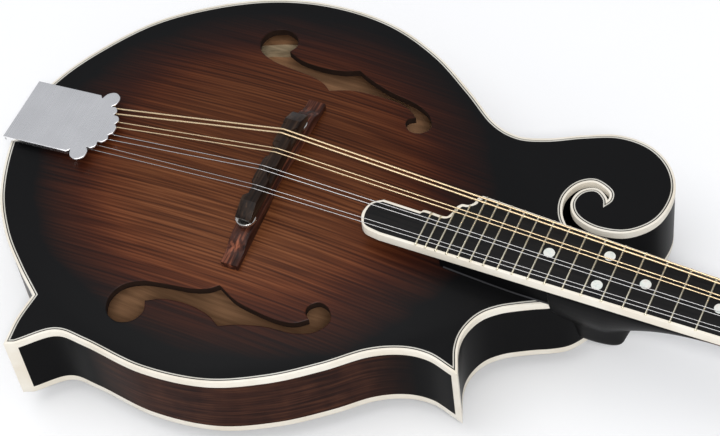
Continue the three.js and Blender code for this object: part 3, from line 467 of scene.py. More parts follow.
# ---- materials ----
class Look:
    """A procedural material: keyword values go straight onto the shader's sockets."""

    def __init__(self, name, **uniform):
        self.material = bpy.data.materials.new(name)
        self.material.use_nodes = True
        self.tree = self.material.node_tree
        self.shader = self.tree.nodes["Principled BSDF"]
        for key, value in uniform.items():
            self.shader.inputs[key.replace("_", " ")].default_value = value
        self.place = self.node("TexCoord").outputs["Object"]

    def node(self, kind, sockets=None, **settings):
        made = self.tree.nodes.new("ShaderNode" + kind)
        for key, value in settings.items():
            setattr(made, key, value)
        for key, value in (sockets or {}).items():
            if isinstance(value, bpy.types.NodeSocket):
                self.tree.links.new(value, made.inputs[key])
            else:
                made.inputs[key].default_value = value
        return made

    def stretched(self, scale, source=None, location=(0, 0, 0)):
        sockets = {"Vector": source or self.place, "Location": location, "Scale": scale}
        return self.node("Mapping", sockets).outputs[0]

    def noise(self, stretch, source=None, detail=4.0, roughness=0.55):
        """Noise over a vector stretched on each axis, or evenly over the object's place by one number."""
        even = not isinstance(stretch, tuple)
        vector, scale = (self.place, stretch) if even else (self.stretched(stretch, source), 1.0)
        sockets = {"Vector": vector, "Scale": scale, "Detail": detail, "Roughness": roughness}
        return self.node("TexNoise", sockets).outputs[0]

    def ramp(self, factor, *stops):
        made = self.node("ValToRGB", {"Fac": factor})
        bar = made.color_ramp
        while len(bar.elements) < len(stops):
            bar.elements.new(0.5)
        for element, (position, color) in zip(bar.elements, stops):
            element.position = position
            element.color = (*color, 1) if isinstance(color, tuple) else (color, color, color, 1)
        return made.outputs[0]

    def mix(self, factor, first, second, mode="MIX"):
        made = self.tree.nodes.new("ShaderNodeMix")
        made.data_type = "RGBA"
        made.blend_type = mode
        for socket, value in ((0, factor), (6, first), (7, second)):
            if isinstance(value, bpy.types.NodeSocket):
                self.tree.links.new(value, made.inputs[socket])
            else:
                made.inputs[socket].default_value = value if socket == 0 else (*value, 1)
        return made.outputs[2]

    def total(self, *terms, base=0.0):
        """The base plus each (value, weight) pair's product."""
        for value, weight in terms:
            base = self.node("Math", {0: value, 1: weight, 2: base}, operation="MULTIPLY_ADD").outputs[0]
        return base

    def wave(self, phase):
        """A sine between 0 and 1."""
        return self.total((self.node("Math", {0: phase}, operation="SINE").outputs[0], 0.5), base=0.5)

    def length(self, vector):
        return self.node("VectorMath", {0: vector}, operation="LENGTH").outputs["Value"]

    def attribute(self, name):
        return self.node("Attribute", attribute_name=name).outputs["Vector"]

    def parts(self, vector):
        return self.node("SeparateXYZ", {0: vector}).outputs

    def finished(self, color, roughness=None, bump=None):
        """The material, with (value, low, high) of its roughness and (height, strength, mm) of its bump."""
        self.tree.links.new(color, self.shader.inputs["Base Color"])
        if roughness:
            value, low, high = roughness
            spread = self.node("MapRange", {"Value": value, "To Min": low, "To Max": high}).outputs[0]
            self.tree.links.new(spread, self.shader.inputs["Roughness"])
        if bump:
            height, strength, depth = bump
            made = self.node("Bump", {"Height": height, "Strength": strength, "Distance": depth / 1000})
            self.tree.links.new(made.outputs[0], self.shader.inputs["Normal"])
        return self.material


BLACK = (0.004, 0.004, 0.0043)


def burst_wood(name, colors, painted_bass_shade, turns=(16, 760, 40)):
    """Stained wood with its grain along X, shaded from brown in the middle to black at the edge, and
    multiplied down on its bass side by a painted shade, so that its treble side reads lighter as a painted
    sheen."""
    ring_width, ring_drift = 0.0019, 9
    treble_side, bass_side = BRIDGE_FOOT.y - 0.045, BRIDGE_FOOT.y + 0.04
    center, half = BRIDGE_FOOT + Vector((-0.015, 0.007, 0)), Vector((0.11, 0.098, 1))
    look = Look(name, Specular_IOR_Level=0.12)
    fine = look.noise(turns, detail=2.0)
    broad = look.noise((5, 150, 20), detail=3.0)
    drift = look.noise((3, 40, 3), detail=2.0)
    cloud = look.noise((14, 42, 14), detail=2.0)
    _, y, _ = look.parts(look.place)
    rings = look.wave(look.total((y, 2 * math.pi / ring_width), (drift, ring_drift)))
    grain = look.total((fine, 0.68), (broad, 0.22), (rings, 0.1))
    wood = look.ramp(grain, *zip((0.34, 0.5, 0.66), colors))
    # painted shade: the colour is multiplied down across y towards the bass side, leaving a painted sheen on
    # the treble side
    width = bass_side - treble_side
    side = look.total((y, 1 / width), base=-treble_side / width)
    wood = look.mix(1.0, wood, look.ramp(side, (0.0, (1.0, 1.0, 1.0)), (1.0, painted_bass_shade)), "MULTIPLY")
    spot = look.stretched((1 / half.x, 1 / half.y, 0), location=(-center.x / half.x, -center.y / half.y, 0))
    reach = look.total((look.length(spot), 1 / 1.4), (cloud, 0.16 / 1.4), base=-0.08 / 1.4)
    redden = look.ramp(reach, (0.38, 0.0), (0.66, 1.0))
    wood = look.mix(redden, wood, look.mix(1.0, wood, (0.62, 0.42, 0.38), "MULTIPLY"))
    blacken = look.ramp(reach, (0.55, 0.0), (0.68, 0.55), (0.83, 1.0))
    color = look.mix(blacken, wood, BLACK)
    return look.finished(color, (grain, 0.34, 0.46), (grain, 0.12, 0.2))


def rib_wood():
    """Stained ribs: the grain runs along the bend, and black lacquer fades in at the points and scroll."""
    look = Look("rib_wood", Specular_IOR_Level=0.02)
    strip = look.attribute("strip")
    _, _, fade = look.parts(strip)
    grain = look.noise((26, 520, 0), strip, detail=5.0)
    figure = look.noise((70, 30, 0), strip, detail=2.0)
    wood = look.ramp(look.total((grain, 0.7), (figure, 0.3)), (0.36, (0.014, 0.006, 0.005)),
                     (0.5, (0.034, 0.0125, 0.008)), (0.66, (0.075, 0.028, 0.015)))
    color = look.mix(look.ramp(fade, (0.1, 0.0), (0.9, 1.0)), wood, BLACK)
    return look.finished(color, (grain, 0.27, 0.36), (grain, 0.05, 0.2))


def raw_wood(name, color):
    look = Look(name, Specular_IOR_Level=0.25)
    grain = look.noise((14, 420, 420))
    cloud = look.noise(18, detail=2.0)
    dark = tuple(c * 0.62 for c in color)
    wood = look.ramp(grain, (0.35, dark), (0.62, color))
    color = look.mix(look.total((cloud, 0.35)), wood, dark)
    return look.finished(color, (grain, 0.6, 0.8), (grain, 0.2, 0.2))


def ivory(name, light, dark):
    look = Look(name, Specular_IOR_Level=0.45)
    cloud = look.noise(45, detail=5.0)
    scratches = look.noise((60, 900, 900), detail=3.0)
    color = look.ramp(cloud, (0.35, dark), (0.62, light))
    return look.finished(color, (scratches, 0.28, 0.42), (scratches, 0.04, 0.1))


def lacquer(name, color, low, high):
    look = Look(name, Specular_IOR_Level=0.05)
    orange_peel = look.noise(520, detail=2.0)
    haze = look.noise(30, detail=3.0)
    color = look.ramp(haze, (0.3, tuple(c * 0.8 for c in color)), (0.7, tuple(c * 1.25 for c in color)))
    return look.finished(color, (haze, low, high), (orange_peel, 0.03, 0.1))


def neck_finish():
    """Black lacquer that opens to stained brown wood along the middle of the neck's shaft."""
    middle, half = BRIDGE_FOOT.x + 0.296, 0.07
    look = Look("black_neck", Specular_IOR_Level=0.015)
    grain = look.noise((30, 620, 620))
    haze = look.noise(30, detail=3.0)
    spot = look.stretched((1 / half, 0, 0), location=(-middle / half, 0, 0))
    wood = look.ramp(grain, (0.36, (0.02, 0.007, 0.0045)), (0.64, (0.095, 0.033, 0.014)))
    reach = look.total((look.length(spot), 1), (haze, 0.12))
    color = look.mix(look.ramp(reach, (0.55, 0.0), (1.0, 1.0)), wood, BLACK)
    return look.finished(color, (haze, 0.3, 0.42), (grain, 0.04, 0.1))


def ebony():
    look = Look("ebony", Specular_IOR_Level=0.2)
    grain = look.noise((22, 900, 300))
    pores = look.noise((160, 2600, 900), detail=2.0)
    color = look.ramp(grain, (0.35, (0.003, 0.003, 0.0033)), (0.68, (0.009, 0.008, 0.0076)))
    return look.finished(color, (grain, 0.42, 0.6), (pores, 0.18, 0.1))


def rosewood(name, colors):
    look = Look(name, Specular_IOR_Level=0.15)
    grain = look.noise((700, 26, 500))
    broad = look.noise((240, 14, 160), detail=2.0)
    color = look.ramp(look.total((grain, 0.55), (broad, 0.45)), *zip((0.38, 0.52, 0.64), colors))
    return look.finished(color, (grain, 0.26, 0.42), (grain, 0.15, 0.2))


def metal(name, color, low, high):
    look = Look(name, Metallic=1.0)
    brushed = look.noise((900, 30, 900), detail=3.0)
    cloud = look.noise(60, detail=2.0)
    color = look.ramp(cloud, (0.3, tuple(c * 0.93 for c in color)), (0.7, color))
    return look.finished(color, (brushed, low, high), (brushed, 0.03, 0.05))


def wound_wire():
    """Bronze winding on a steel core: fine turns across the string, driven by the length along it, each turn
    darkened in its groove as painted shade.
    """
    pitch = 0.00032
    look = Look("wound_bronze", Metallic=1.0)
    along, angle, _ = look.parts(look.attribute("strip"))
    wave = look.wave(look.total((along, 2 * math.pi / pitch), (angle, 1)))
    # painted shade: the colour follows the bump's wave and is dark in the grooves between turns
    color = look.ramp(wave, (0.0, (0.72, 0.5, 0.27)), (0.6, (1.0, 0.8, 0.52)))
    return look.finished(color, (wave, 0.22, 0.4), (wave, 0.5, 0.05))


def pearl():
    look = Look("pearl", Specular_IOR_Level=0.55, Coat_Weight=0.3)
    swirl = look.noise(420, roughness=0.7)
    color = look.ramp(swirl, (0.34, (0.56, 0.63, 0.6)), (0.5, (0.76, 0.77, 0.72)),
                      (0.64, (0.7, 0.66, 0.62)))
    return look.finished(color, (swirl, 0.16, 0.3))


def pale_floor():
    look = Look("floor", Roughness=0.8, Specular_IOR_Level=0.1)
    cloud = look.noise(3, detail=2.0)
    return look.finished(look.ramp(cloud, (0.3, 0.93), (0.7, 0.95)))


# The spruce's bass side carries a painted shade; the maple's tint is white, so it carries none.
SPRUCE = burst_wood("burst_spruce", ((0.05, 0.015, 0.0058), (0.118, 0.037, 0.013), (0.205, 0.074, 0.028)),
                    painted_bass_shade=(0.58, 0.5, 0.42))
MAPLE = burst_wood("burst_maple", ((0.045, 0.014, 0.006), (0.085, 0.028, 0.012), (0.12, 0.045, 0.02)),
                   painted_bass_shade=(1.0, 1.0, 1.0), turns=(120, 40, 40))
RIBS = rib_wood()
RAW = raw_wood("raw_maple", (0.46, 0.245, 0.125))
PALE = raw_wood("raw_basswood", (0.62, 0.49, 0.31))
CUT = raw_wood("cut_edge", (0.03, 0.014, 0.008))
IVORY = ivory("ivory", (0.84, 0.79, 0.69), (0.76, 0.69, 0.57))
LINE = ivory("purfling", (0.62, 0.6, 0.54), (0.52, 0.49, 0.42))
BONE = ivory("bone", (0.8, 0.77, 0.68), (0.7, 0.66, 0.55))
BLACK_NECK = neck_finish()
# a grey lacquer, far lighter than the black around it: a painted highlight along the riser's foot
COVE_PAINTED_HIGHLIGHT = lacquer("cove", (0.035, 0.035, 0.037), 0.2, 0.3)
GLOSS = lacquer("gloss_black", BLACK, 0.12, 0.2)
EBONY = ebony()
SADDLE_WOOD = rosewood("saddle_wood", ((0.007, 0.0045, 0.0035), (0.022, 0.0125, 0.008), (0.06, 0.034, 0.02)))
BASE_WOOD = rosewood("base_wood", ((0.012, 0.005, 0.004), (0.055, 0.018, 0.011), (0.26, 0.085, 0.045)))
CHROME = metal("chrome", (0.97, 0.965, 0.97), 0.22, 0.32)
NICKEL = metal("nickel", (0.72, 0.7, 0.66), 0.14, 0.28)
FRET_METAL = metal("fret_metal", (0.96, 0.89, 0.7), 0.2, 0.36)
BRASS = metal("brass", (0.72, 0.52, 0.24), 0.2, 0.34)
STEEL = metal("plain_wire", (0.86, 0.84, 0.82), 0.2, 0.32)
BRONZE = wound_wire()
PEARL = pearl()


# ---- body ----
UPPER_TIP = {"at": (131.5, -71.5), "facing": (0.7, -0.72), "depth": 5.5}
LOWER_TIP = {"at": (-93.5, -136), "facing": (-0.42, -0.91), "depth": 4.2}
COUNTS = [count for _, count in OUTLINE]
UPPER_CORNER = COUNTS[0]
LOWER_CORNER = COUNTS[0] + COUNTS[1]


def cap_stretch(tip, corner):
    """The stretch of the outline that a point's cap covers."""
    facing = np.array(tip["facing"]) / np.linalg.norm(tip["facing"])
    depth = (np.array(tip["at"]) - body_loop(BINDING)) @ facing
    first = last = corner
    while depth[first - 1] < tip["depth"]:
        first -= 1
    while depth[last + 1] < tip["depth"]:
        last += 1
    return first, last


def neck_stretch():
    """Where the ribs meet behind the neck's heel."""
    loop = body_loop(BINDING)
    return int(np.flatnonzero(loop[:, 1] < -1)[0]), len(loop) - 1


def fade_at(p):
    """How much black lacquer covers the ribs at a place in plan."""
    def near(tip, inner, outer):
        gap = math.dist(p, tip["at"])
        return min(max((outer - gap) / (outer - inner), 0), 1)

    beyond_upper_point = 1 if p[0] > UPPER_TIP["at"][0] - 12 and p[1] < 0 else 0
    scroll = min(max((p[0] - 70) / 40, 0), 1) if p[1] > 0 else 0
    return max(near(LOWER_TIP, 36, 66), near(UPPER_TIP, 26, 62), beyond_upper_point, scroll)


def ring_offset(line, distance):
    """A closed line moved outwards."""
    return moved_sideways(line, -distance * winding(line), closed=True)


F_RUNS = [([[-36.7, 88.5], [-27, 84.4], [-14, 83.3], [-2, 85.2], [6, 89.1]], 24),
          ([[6, 89.1], [15, 85], [28, 81], [43, 78.9], [53, 74.6], [58.4, 66.5], [55.5, 60], [49.6, 58.4],
            [45.2, 62], [45, 66.2], [48.2, 69]], 66),
          ([[48.2, 69], [41.6, 73.6], [32.5, 75.3], [20.4, 74.8], [8.3, 73], [-2.7, 68.1]], 30),
          ([[-2.7, 68.1], [-8, 72], [-17, 74.8], [-30, 76.4], [-42, 78.4], [-52, 83.6], [-56, 92],
            [-53.5, 100.5], [-45.8, 104], [-38, 100.8], [-34.9, 94.3], [-36.7, 88.5]], 72)]


def f_hole(side):
    return np.vstack([curve(controls, steps)[:-1] for controls, steps in F_RUNS]) * (1, side)


def build_top():
    holes = [f_hole(side) for side in (1, -1)]
    rims = [ring_offset(hole, step) for hole in holes for step in (0.35, 0.8)]
    edge = body_loop(EDGE - GAP / 2)
    flat, triangles = region(edge, holes, [body_loop(EDGE - 0.5), body_loop(EDGE - 1.1), *rims], spacing=3.4)
    points, faces, kinds = shell(flat, triangles, top_z, lambda x, y: top_z(x, y) - PLATE, drop=0.2)
    piece("soundboard", points, faces, [SPRUCE, RAW, CUT], "top_spruce", node="top_plate",
          face_slots=kinds)
    purfling("top_purfling", top_z, 1)


def build_back():
    flat, triangles = region(body_loop(EDGE - GAP / 2), lines=[body_loop(EDGE - 0.5), body_loop(EDGE - 1.1)],
                             spacing=3.6)
    points, faces, kinds = shell(flat, triangles, lambda x, y: back_z(x, y) + PLATE, back_z)
    piece("back", points, faces, [RAW, MAPLE, MAPLE], "back_maple", node="back_plate",
          face_slots=kinds)
    purfling("back_purfling", back_z, -1)


def purfling(name, surface, out):
    """A thin line round a plate, let in and barely proud of it; out is +1 on the top and -1 on the back."""
    points, faces = band([(-0.05, -0.3 * out), (0.6, -0.3 * out), (0.6, 0.03 * out), (-0.05, 0.03 * out)])
    points[:, 2] += surface(points[:, 0], points[:, 1])
    piece(name, points, faces, LINE, "ivory_binding")


def build_bindings():
    inner = EDGE + GAP / 2
    top = [(inner, -PLATE), (BINDING, -PLATE), (BINDING, -0.4), (BINDING - 0.12, -0.12), (BINDING - 0.4, 0),
           (inner, 0)]
    back = [(grow, -RIM_DEPTH - z) for grow, z in top]
    piece("binding_top", *band(top), IVORY, "ivory_binding", node="top_binding")
    piece("binding_back", *band(back), IVORY, "ivory_binding", node="back_binding")
    low, high = RIB_BOTTOM - GAP, RIB_TOP + GAP
    face = [(GAP, low), (BINDING, low), (BINDING, high), (GAP, high)]
    for name, tip, corner in (("upper", UPPER_TIP, UPPER_CORNER), ("lower", LOWER_TIP, LOWER_CORNER)):
        stretch = cap_stretch(tip, corner)
        piece(f"{name}_point_ivory", *band(face, *stretch), IVORY, "ivory_binding",
              node=f"{name}_point_cap")


def build_ribs():
    z0, z1 = RIB_BOTTOM - GAP, RIB_TOP + GAP
    profile = [(GAP, z0), (RIB + GAP, z0), (RIB + GAP, z1), (GAP, z1)]
    middle = body_loop(RIB / 2 + GAP)
    steps = np.linalg.norm(np.diff(np.vstack([middle, middle[:1]]), axis=0), axis=1)
    along = np.concatenate([[0], np.cumsum(steps)])
    upper, lower = cap_stretch(UPPER_TIP, UPPER_CORNER), cap_stretch(LOWER_TIP, LOWER_CORNER)
    neck_start, slot_end = neck_stretch()
    tail = int(np.argmin(np.linalg.norm(middle - np.array([-158.5, 0]), axis=1)))
    for name, first, last in (("rib_treble_neck", neck_start, upper[0]),
                              ("rib_treble_waist", upper[1], lower[0]),
                              ("rib_treble_tail", lower[1], tail), ("rib_bass", tail, slot_end)):
        points, faces = band(profile, first, last)
        kinds = [1 if k % 4 == 3 else 0 for k in range(len(faces) - 2)] + [0, 0]
        made = piece(name + "_bent", points, faces, [RIBS, RAW], "rib_maple", node=name,
                     face_slots=kinds)
        strip = [(along[i] / 1000, z / 1000, fade_at(middle[i])) for i in range(first, last + 1)
                 for _, z in profile]
        measure_along(made, strip, "strip")


# ---- fingerboard ----
def board_half(x):
    return BOARD_HALF_NUT + BOARD_TAPER * (SCALE - x)


def fret_x(n):
    return SCALE * 2 ** (-n / 12)


def board_line(inset):
    """Half of a U: from the nut down the treble side, round the extension and back up the bass side."""
    bass_end = 108.3
    tip = [[68, inset - board_half(68)], [59.8, -20.2 + inset], [55.8 + inset, -15.6], [54.8 + inset, -10.4],
           [56.8 + inset / 2, -4.4 - inset / 2], [62, -0.5 - inset]]
    ogee = [[82.6, -0.4 - inset], [84.8, 1.3 - inset], [94.8, 1.3 - inset], [97.2 + inset, 3.8 - inset / 2],
            [98.4 + inset, 9.4 - inset]]
    step = [[98.4 + inset, 9.4 - inset], [100.4 + inset / 2, 11.7 - inset], [103.6, 12.4 - inset],
            [105.7 + inset, 14.8 - inset / 2], [106.4 + inset, 18.4 - inset],
            [bass_end + inset, board_half(bass_end) - inset]]
    nut = board_half(SCALE) - inset
    return np.vstack([[SCALE, -nut], curve(tip, 48), curve(ogee, 28)[:-1], curve(step, 36), [SCALE, nut]])


def build_fingerboard():
    line = board_line(BOARD_BINDING + 0.05)
    piece("fingerboard_ebony", *slab(line, BOARD_BOTTOM, BOARD_TOP, 0.05, 1), EBONY, "ebony", at=NECK,
          node="fingerboard")
    profile = [(0, BOARD_BOTTOM), (0, BOARD_TOP - 0.35), (0.12, BOARD_TOP - 0.12), (0.4, BOARD_TOP - 0.02),
               (BOARD_BINDING, BOARD_TOP - 0.02), (BOARD_BINDING, BOARD_BOTTOM)]
    rings = [board_line(inset) for inset, _ in profile]
    rows = [[(*ring[i], z) for ring, (_, z) in zip(rings, profile)] for i in range(len(line))]
    piece("fingerboard_ivory", *closed_tube(rows), IVORY, "ivory_binding", at=NECK,
          node="fingerboard_binding")


def fret_reach(n):
    """A fret's two ends across the board; the extension cuts the last ones short."""
    bass = board_half(fret_x(n)) - 0.15 if n <= 20 else {21: 12.1, 22: 8.6, 23: 0.9, 24: 0.9}[n]
    return 0.15 - board_half(fret_x(n)), bass


def build_frets():
    ends = [(0, 0.35), (0.25, 0.8), (0.7, 1)]
    for n in range(1, FRET_COUNT + 1):
        low, high = fret_reach(n)
        stations = [(low + gap, size) for gap, size in ends]
        stations += [(high - gap, size) for gap, size in ends[::-1]]
        rows = [[(fret_x(n) + 0.55 * math.cos(t), y, BOARD_TOP - 0.02 + FRET_HEIGHT * size * math.sin(t))
                 for t in np.linspace(0, math.pi, 9)] for y, size in stations]
        piece(f"fret_{n:02d}", *closed_tube(rows), FRET_METAL, "tuner_metal", at=NECK, smooth=50)


def build_dots():
    disc = [(0.01, 0.03), (2.2, 0.03), (2.9, 0.0), (3.0, -0.4), (0.01, -0.4)]
    for n in (3, 5, 7, 10, 12, 15):
        x = (fret_x(n) + fret_x(n - 1)) / 2
        for k, y in enumerate((-9.3, 9.3) if n == 12 else (0,)):
            at = NECK @ shift(x, y, BOARD_TOP)
            piece(f"dot_{n:02d}_{k}", *lathe(disc, 40), PEARL, "pearl_button", at=at)


# ---- neck ----
def neck_plane(x):
    """Height of the neck's flat top over a place in the body's frame."""
    angle = math.radians(NECK_ANGLE)
    return FRET_PLANE_Z + NECK_TOP / math.cos(angle) - x * math.tan(angle)


def neck_shaft():
    """A rounded V that deepens towards the heel."""
    depth, heel_depth, heel_start, heel_run = 11.5, 34, 246, 60
    angles = around(48)
    across_v, down_v = (np.sign(w) * np.abs(w) ** 1.25 for w in (np.cos(angles), np.sin(angles)))
    rows = []
    for x in np.linspace(158, HEAD_START + 4, 80):
        below = depth + heel_depth * min(max((heel_start - x) / heel_run, 0), 1) ** 1.5
        half = board_half(min(x, SCALE)) - 0.2
        rows.append(np.column_stack([0 * angles + x, -half * across_v,
                                     NECK_TOP + down_v * np.where(down_v < 0, below, 3)]))
    return closed_tube(rows)


def neck_heel():
    """Squared towards the body and round in front, with a small rounded tip."""
    bottom = HEEL_BOTTOM - FRET_PLANE_Z + HEEL_X * math.sin(math.radians(NECK_ANGLE))
    height = NECK_TOP - 2 - bottom
    u, w = np.cos(around(44)), np.sin(around(44))
    rows = []
    for t in np.linspace(0, 1, 60):
        tip = max(0, 1 - t / 0.1) ** 2
        half = (3.95 + 12.5 * t**1.05) * math.sqrt(1 - 0.8 * tip)
        front = 17.7 + 13.2 * t + 49.7 * t**5.4 - 4 * tip
        rows.append(np.column_stack([HEEL_X + w * np.where(w > 0, front, 10),
                                     half * np.where(w < 0, np.sign(u) * np.abs(u) ** 0.35, u),
                                     0 * u + bottom + t * height]))
    return closed_tube(rows)


def build_neck():
    made = piece("neck_shaft", *joined(neck_shaft(), neck_heel()), BLACK_NECK, "black_neck", at=NECK,
                 node="neck")
    remesh = made.modifiers.new("blend", "REMESH")
    remesh.mode = "VOXEL"
    remesh.voxel_size = 0.0009
    soften = made.modifiers.new("soften", "SMOOTH")
    soften.iterations = 14
    soften.factor = 0.6
    apply_modifiers(made)
    bm = bmesh.new()
    bm.from_mesh(made.data)
    plane = ROW @ NECK
    cut = bmesh.ops.bisect_plane(bm, geom=bm.verts[:] + bm.edges[:] + bm.faces[:], dist=1e-6,
                                 plane_co=plane @ Vector((0, 0, NECK_TOP)),
                                 plane_no=plane.to_3x3() @ Vector((0, 0, 1)), clear_outer=True)
    bmesh.ops.holes_fill(bm, edges=[e for e in cut["geom_cut"] if isinstance(e, bmesh.types.BMEdge)])
    bm.to_mesh(made.data)
    bm.free()
    finish_mesh(made.data, 50)


def build_riser():
    corners = [(98, -15.5), (172, -15), (172, 16), (112, 15.5), (100, 2), (98, -3)]
    line = respaced(np.array(corners + corners[:1], float), 90)[:-1]
    flat, triangles = region(line, spacing=4)
    made = shell(flat, triangles, lambda x, y: neck_plane(x), lambda x, y: top_z(x, y) + 0.02)
    piece("neck_riser", *made[:2], BLACK_NECK, "black_neck")
    # Glossy beads along the riser's feet, coloured grey as a painted highlight line
    for tag, x0, y0, y1 in (("treble", 100, -15.7, -15.2), ("bass", 114, 15.7, 16.1)):
        path = [(x, y, top_z(x, y) + 0.35) for x, y in zip(np.linspace(x0, 166, 34), np.linspace(y0, y1, 34))]
        piece(f"riser_cove_{tag}", *tube(path, 0.5, 12), COVE_PAINTED_HIGHLIGHT, "black_neck")


HEAD_SIDE = [[0, 14.6], [12, 15.6], [22, 24], [30, 33.5], [44, 33], [74, 31.5], [104, 33]]
HEAD_BASS = HEAD_SIDE + [[122, 39], [140, 41.5], [152, 35], [152, 24], [143, 19], [139, 24.5]]
HEAD_CROWN = [[139, 24.5], [134, 16], [142, 6], [156, 0], [164, -6]]
HEAD_TREBLE = [[164, -6], [160, -20], [150, -34], [134, -41], [120, -38.5]]
HEAD_TREBLE += [[x, -y] for x, y in HEAD_SIDE[::-1]]


def build_headstock():
    line = np.vstack([curve(HEAD_BASS, 84)[:-1], curve(HEAD_CROWN, 28)[:-1], curve(HEAD_TREBLE, 76)])
    piece("headstock_core", *slab(line, HEAD_BACK, -OVERLAY - GAP, 0.9, 3), BLACK_NECK, "black_neck", at=HEAD)
    volute = [(-9, -13.2), (12, -13.8), (12, 13.8), (-9, 13.2)]
    piece("headstock_volute", *slab(volute, HEAD_BACK + 1, -6, 2.5, 4), BLACK_NECK, "black_neck", at=HEAD)
    front = line.copy()
    front[:, 0] = np.maximum(front[:, 0], 0.7)
    piece("headstock_face", *slab(front, -OVERLAY - GAP, 0, 0.25, 2), GLOSS, "headstock_veneer", at=HEAD,
          node="headstock_overlay")
    cover = curve([[0.9, -6], [8, -8], [20, -7], [30, 0], [20, 7], [8, 8], [0.9, 6]], 72)
    piece("rod_cover", *slab(cover, 0.02, GAP + 1.5, 0.4, 3), GLOSS, "black_plastic", at=HEAD,
          node="truss_rod_cover")
    for k, (x, y) in enumerate(((4, -4), (4, 4), (25, 0))):
        screw(f"rod_cover_screw_{k}", HEAD @ shift(x, y, GAP + 1.5), 1.2)


def screw(name, at, radius):
    head = [(0.01, 0.45), (radius * 0.2, 0.45), (radius * 0.24, 0.15), (radius * 0.3, 0.45),
            (radius * 0.7, 0.35), (radius, 0), (radius, -0.4), (0.01, -0.4)]
    piece(name, *lathe(head, 24), NICKEL, "tuner_metal", at=at)


# ---- bridge ----
def build_bridge():
    half, thick, top = 56.5, 4.9, 18.2
    arch_height, arch_width = 2.6, 11
    y = np.linspace(-half, half, 61)
    lift = np.maximum(0, arch_height - (y / arch_width) ** 2)
    under = np.column_stack([y, top_z(BRIDGE_PLACE[0], y + BRIDGE_PLACE[1]) + 0.1 + lift])
    foot = top_z(BRIDGE_PLACE[0], half + BRIDGE_PLACE[1]) + 1.5 * GAP
    shoulder = curve([[half, foot + 3.2], [49.5, 13.6], [44, 17], [40, top]], 24)
    line = np.vstack([under, shoulder, (shoulder * (-1, 1))[::-1]])
    points, faces = slab(line, -thick, thick, 0.35, 3)
    piece("bridge_foot", points[:, [2, 0, 1]], faces, BASE_WOOD, "rosewood", at=BRIDGE,
          node="bridge_base")
    refined("bridge_saddle", SADDLE_WOOD, body="saddle", bevel=0.3)
    for side, tag in SIDES:
        piece(f"thumbwheel_{tag}", *thumbwheel(), NICKEL, "bridge_hardware",
              at=BRIDGE @ shift(0, side * WHEEL_Y, 0), body=f"wheel_{tag}",
              node=f"bridge_thumbwheel_{tag}", smooth=25)


def thumbwheel():
    """A disc with a hole and a knurled rim."""
    z0, z1, radius, notch, sides = 20.6, 23.0, 5.4, 0.18, 144
    profile = [(1.75, z0), (4.9, z0), (radius, z0 + 0.4), (radius, z1 - 0.4), (4.9, z1), (1.75, z1)]
    points, faces = hollow_lathe(profile, sides)
    rim = points.reshape(sides, len(profile), 3)[:, 2:4, :2]
    rim[np.arange(sides) % 4 > 1] *= 1 - notch / radius
    return points, faces


# ---- strings ----
# note, place across the neck, x on the saddle, radius and first tuner post of each pair
COURSES = [("g", 3, -1.2, 0.51, 0), ("d", 1, 1.2, 0.33, 2), ("a", -1, -1.4, 0.2, 2), ("e", -3, 0.2, 0.16, 0)]
# middle, half the space between courses and half the space within a pair
NUT_SPACING = (0.7, 3.5, 1.05)
COMB_SPACING = (0.8, 4.2, 1.85)
SADDLE_SPACING = (0, 6.3, 1.27)
WIRE_SIDES = 12


def string_path(at, twin, saddle_x, radius, slot):
    """From the tailpiece's comb over the saddle and the nut to one and a half turns round the post."""
    comb_y, saddle_y, nut_y = (middle + at * step + twin * pair
                               for middle, step, pair in (COMB_SPACING, SADDLE_SPACING, NUT_SPACING))
    side = 1 if at > 0 else -1
    rest = radius + 0.22
    ridge = BRIDGE @ Vector((saddle_x, saddle_y, SADDLE_CREST + rest))
    nut, nut_back = (NECK @ Vector((NUT_X + x, nut_y, NUT_CREST + rest)) for x in (1, 4.9))
    path = [(-140.2, comb_y, 3.4 + rest), (-113.1, comb_y, 6.85 + rest), ridge[:], nut[:], nut_back[:]]
    grip = POST_RADIUS - 0.6 + radius + 0.05
    for t in np.linspace(-math.pi / 2, 2.5 * math.pi, 48):
        spot = Vector((FIRST_POST + POST_SPACING * slot + grip * math.cos(side * t),
                       side * POST_ROW + grip * math.sin(side * t), 9.4 - 0.22 * (t + math.pi / 2)))
        path.append((HEAD @ spot)[:])
    return with_bends(path)


def with_bends(path):
    """The first bends of a string softened: each corner becomes three points a little apart."""
    path = [Vector(p) for p in path]
    soft = [path[0]]
    for i in range(1, 5):
        before, after = (path[i - 1] - path[i]).normalized(), (path[i + 1] - path[i]).normalized()
        soft += [path[i] + before * 0.8, path[i], path[i] + after * 0.8]
    return [p[:] for p in soft + path[5:]]


def build_strings():
    for note, at, saddle_x, radius, post in COURSES:
        wound = note in "gd"
        look = (BRONZE, "wound_wire") if wound else (STEEL, "plain_wire")
        for twin in (1, -1):
            outer = twin * at > 0
            path = string_path(at, twin, saddle_x, radius, post + (0 if outer else 1))
            name = f"string_{note}_{'outer' if outer else 'inner'}"
            made = piece(name + "_wire", *tube(path, radius, WIRE_SIDES), *look, node=name, smooth=60)
            if wound:
                steps = np.linalg.norm(np.diff(np.array(path), axis=0), axis=1)
                run = np.concatenate([[0], np.cumsum(steps)]) / 1000
                measure_along(made, [(s, a, 0) for s in run for a in around(WIRE_SIDES)], "strip")


# ---- tailpiece ----
def cover_line():
    ear = [[42.6, -18.6], [44.6, -22.6], [48.8, -24.2], [52.6, -21.6], [52.8, -17.4], [50.6, -14.6]]
    lobes = [[[50.6, -14.6], [53.6, -14.8], [55.6, -12.4], [55, -9.6]],
             [[55, -9.6], [58, -9.2], [59.8, -6.6], [58.8, -4]], [[58.8, -4], [60.6, -2.2], [61, 0]]]
    side = [[x, -20.6] for x in (0, 10, 20, 30, 41)]
    treble = np.vstack([side, curve(ear, 30)[:-1], *[curve(lobe, 10)[:-1] for lobe in lobes]])
    return np.vstack([treble, [[61, 0]], (treble * (1, -1))[::-1]])


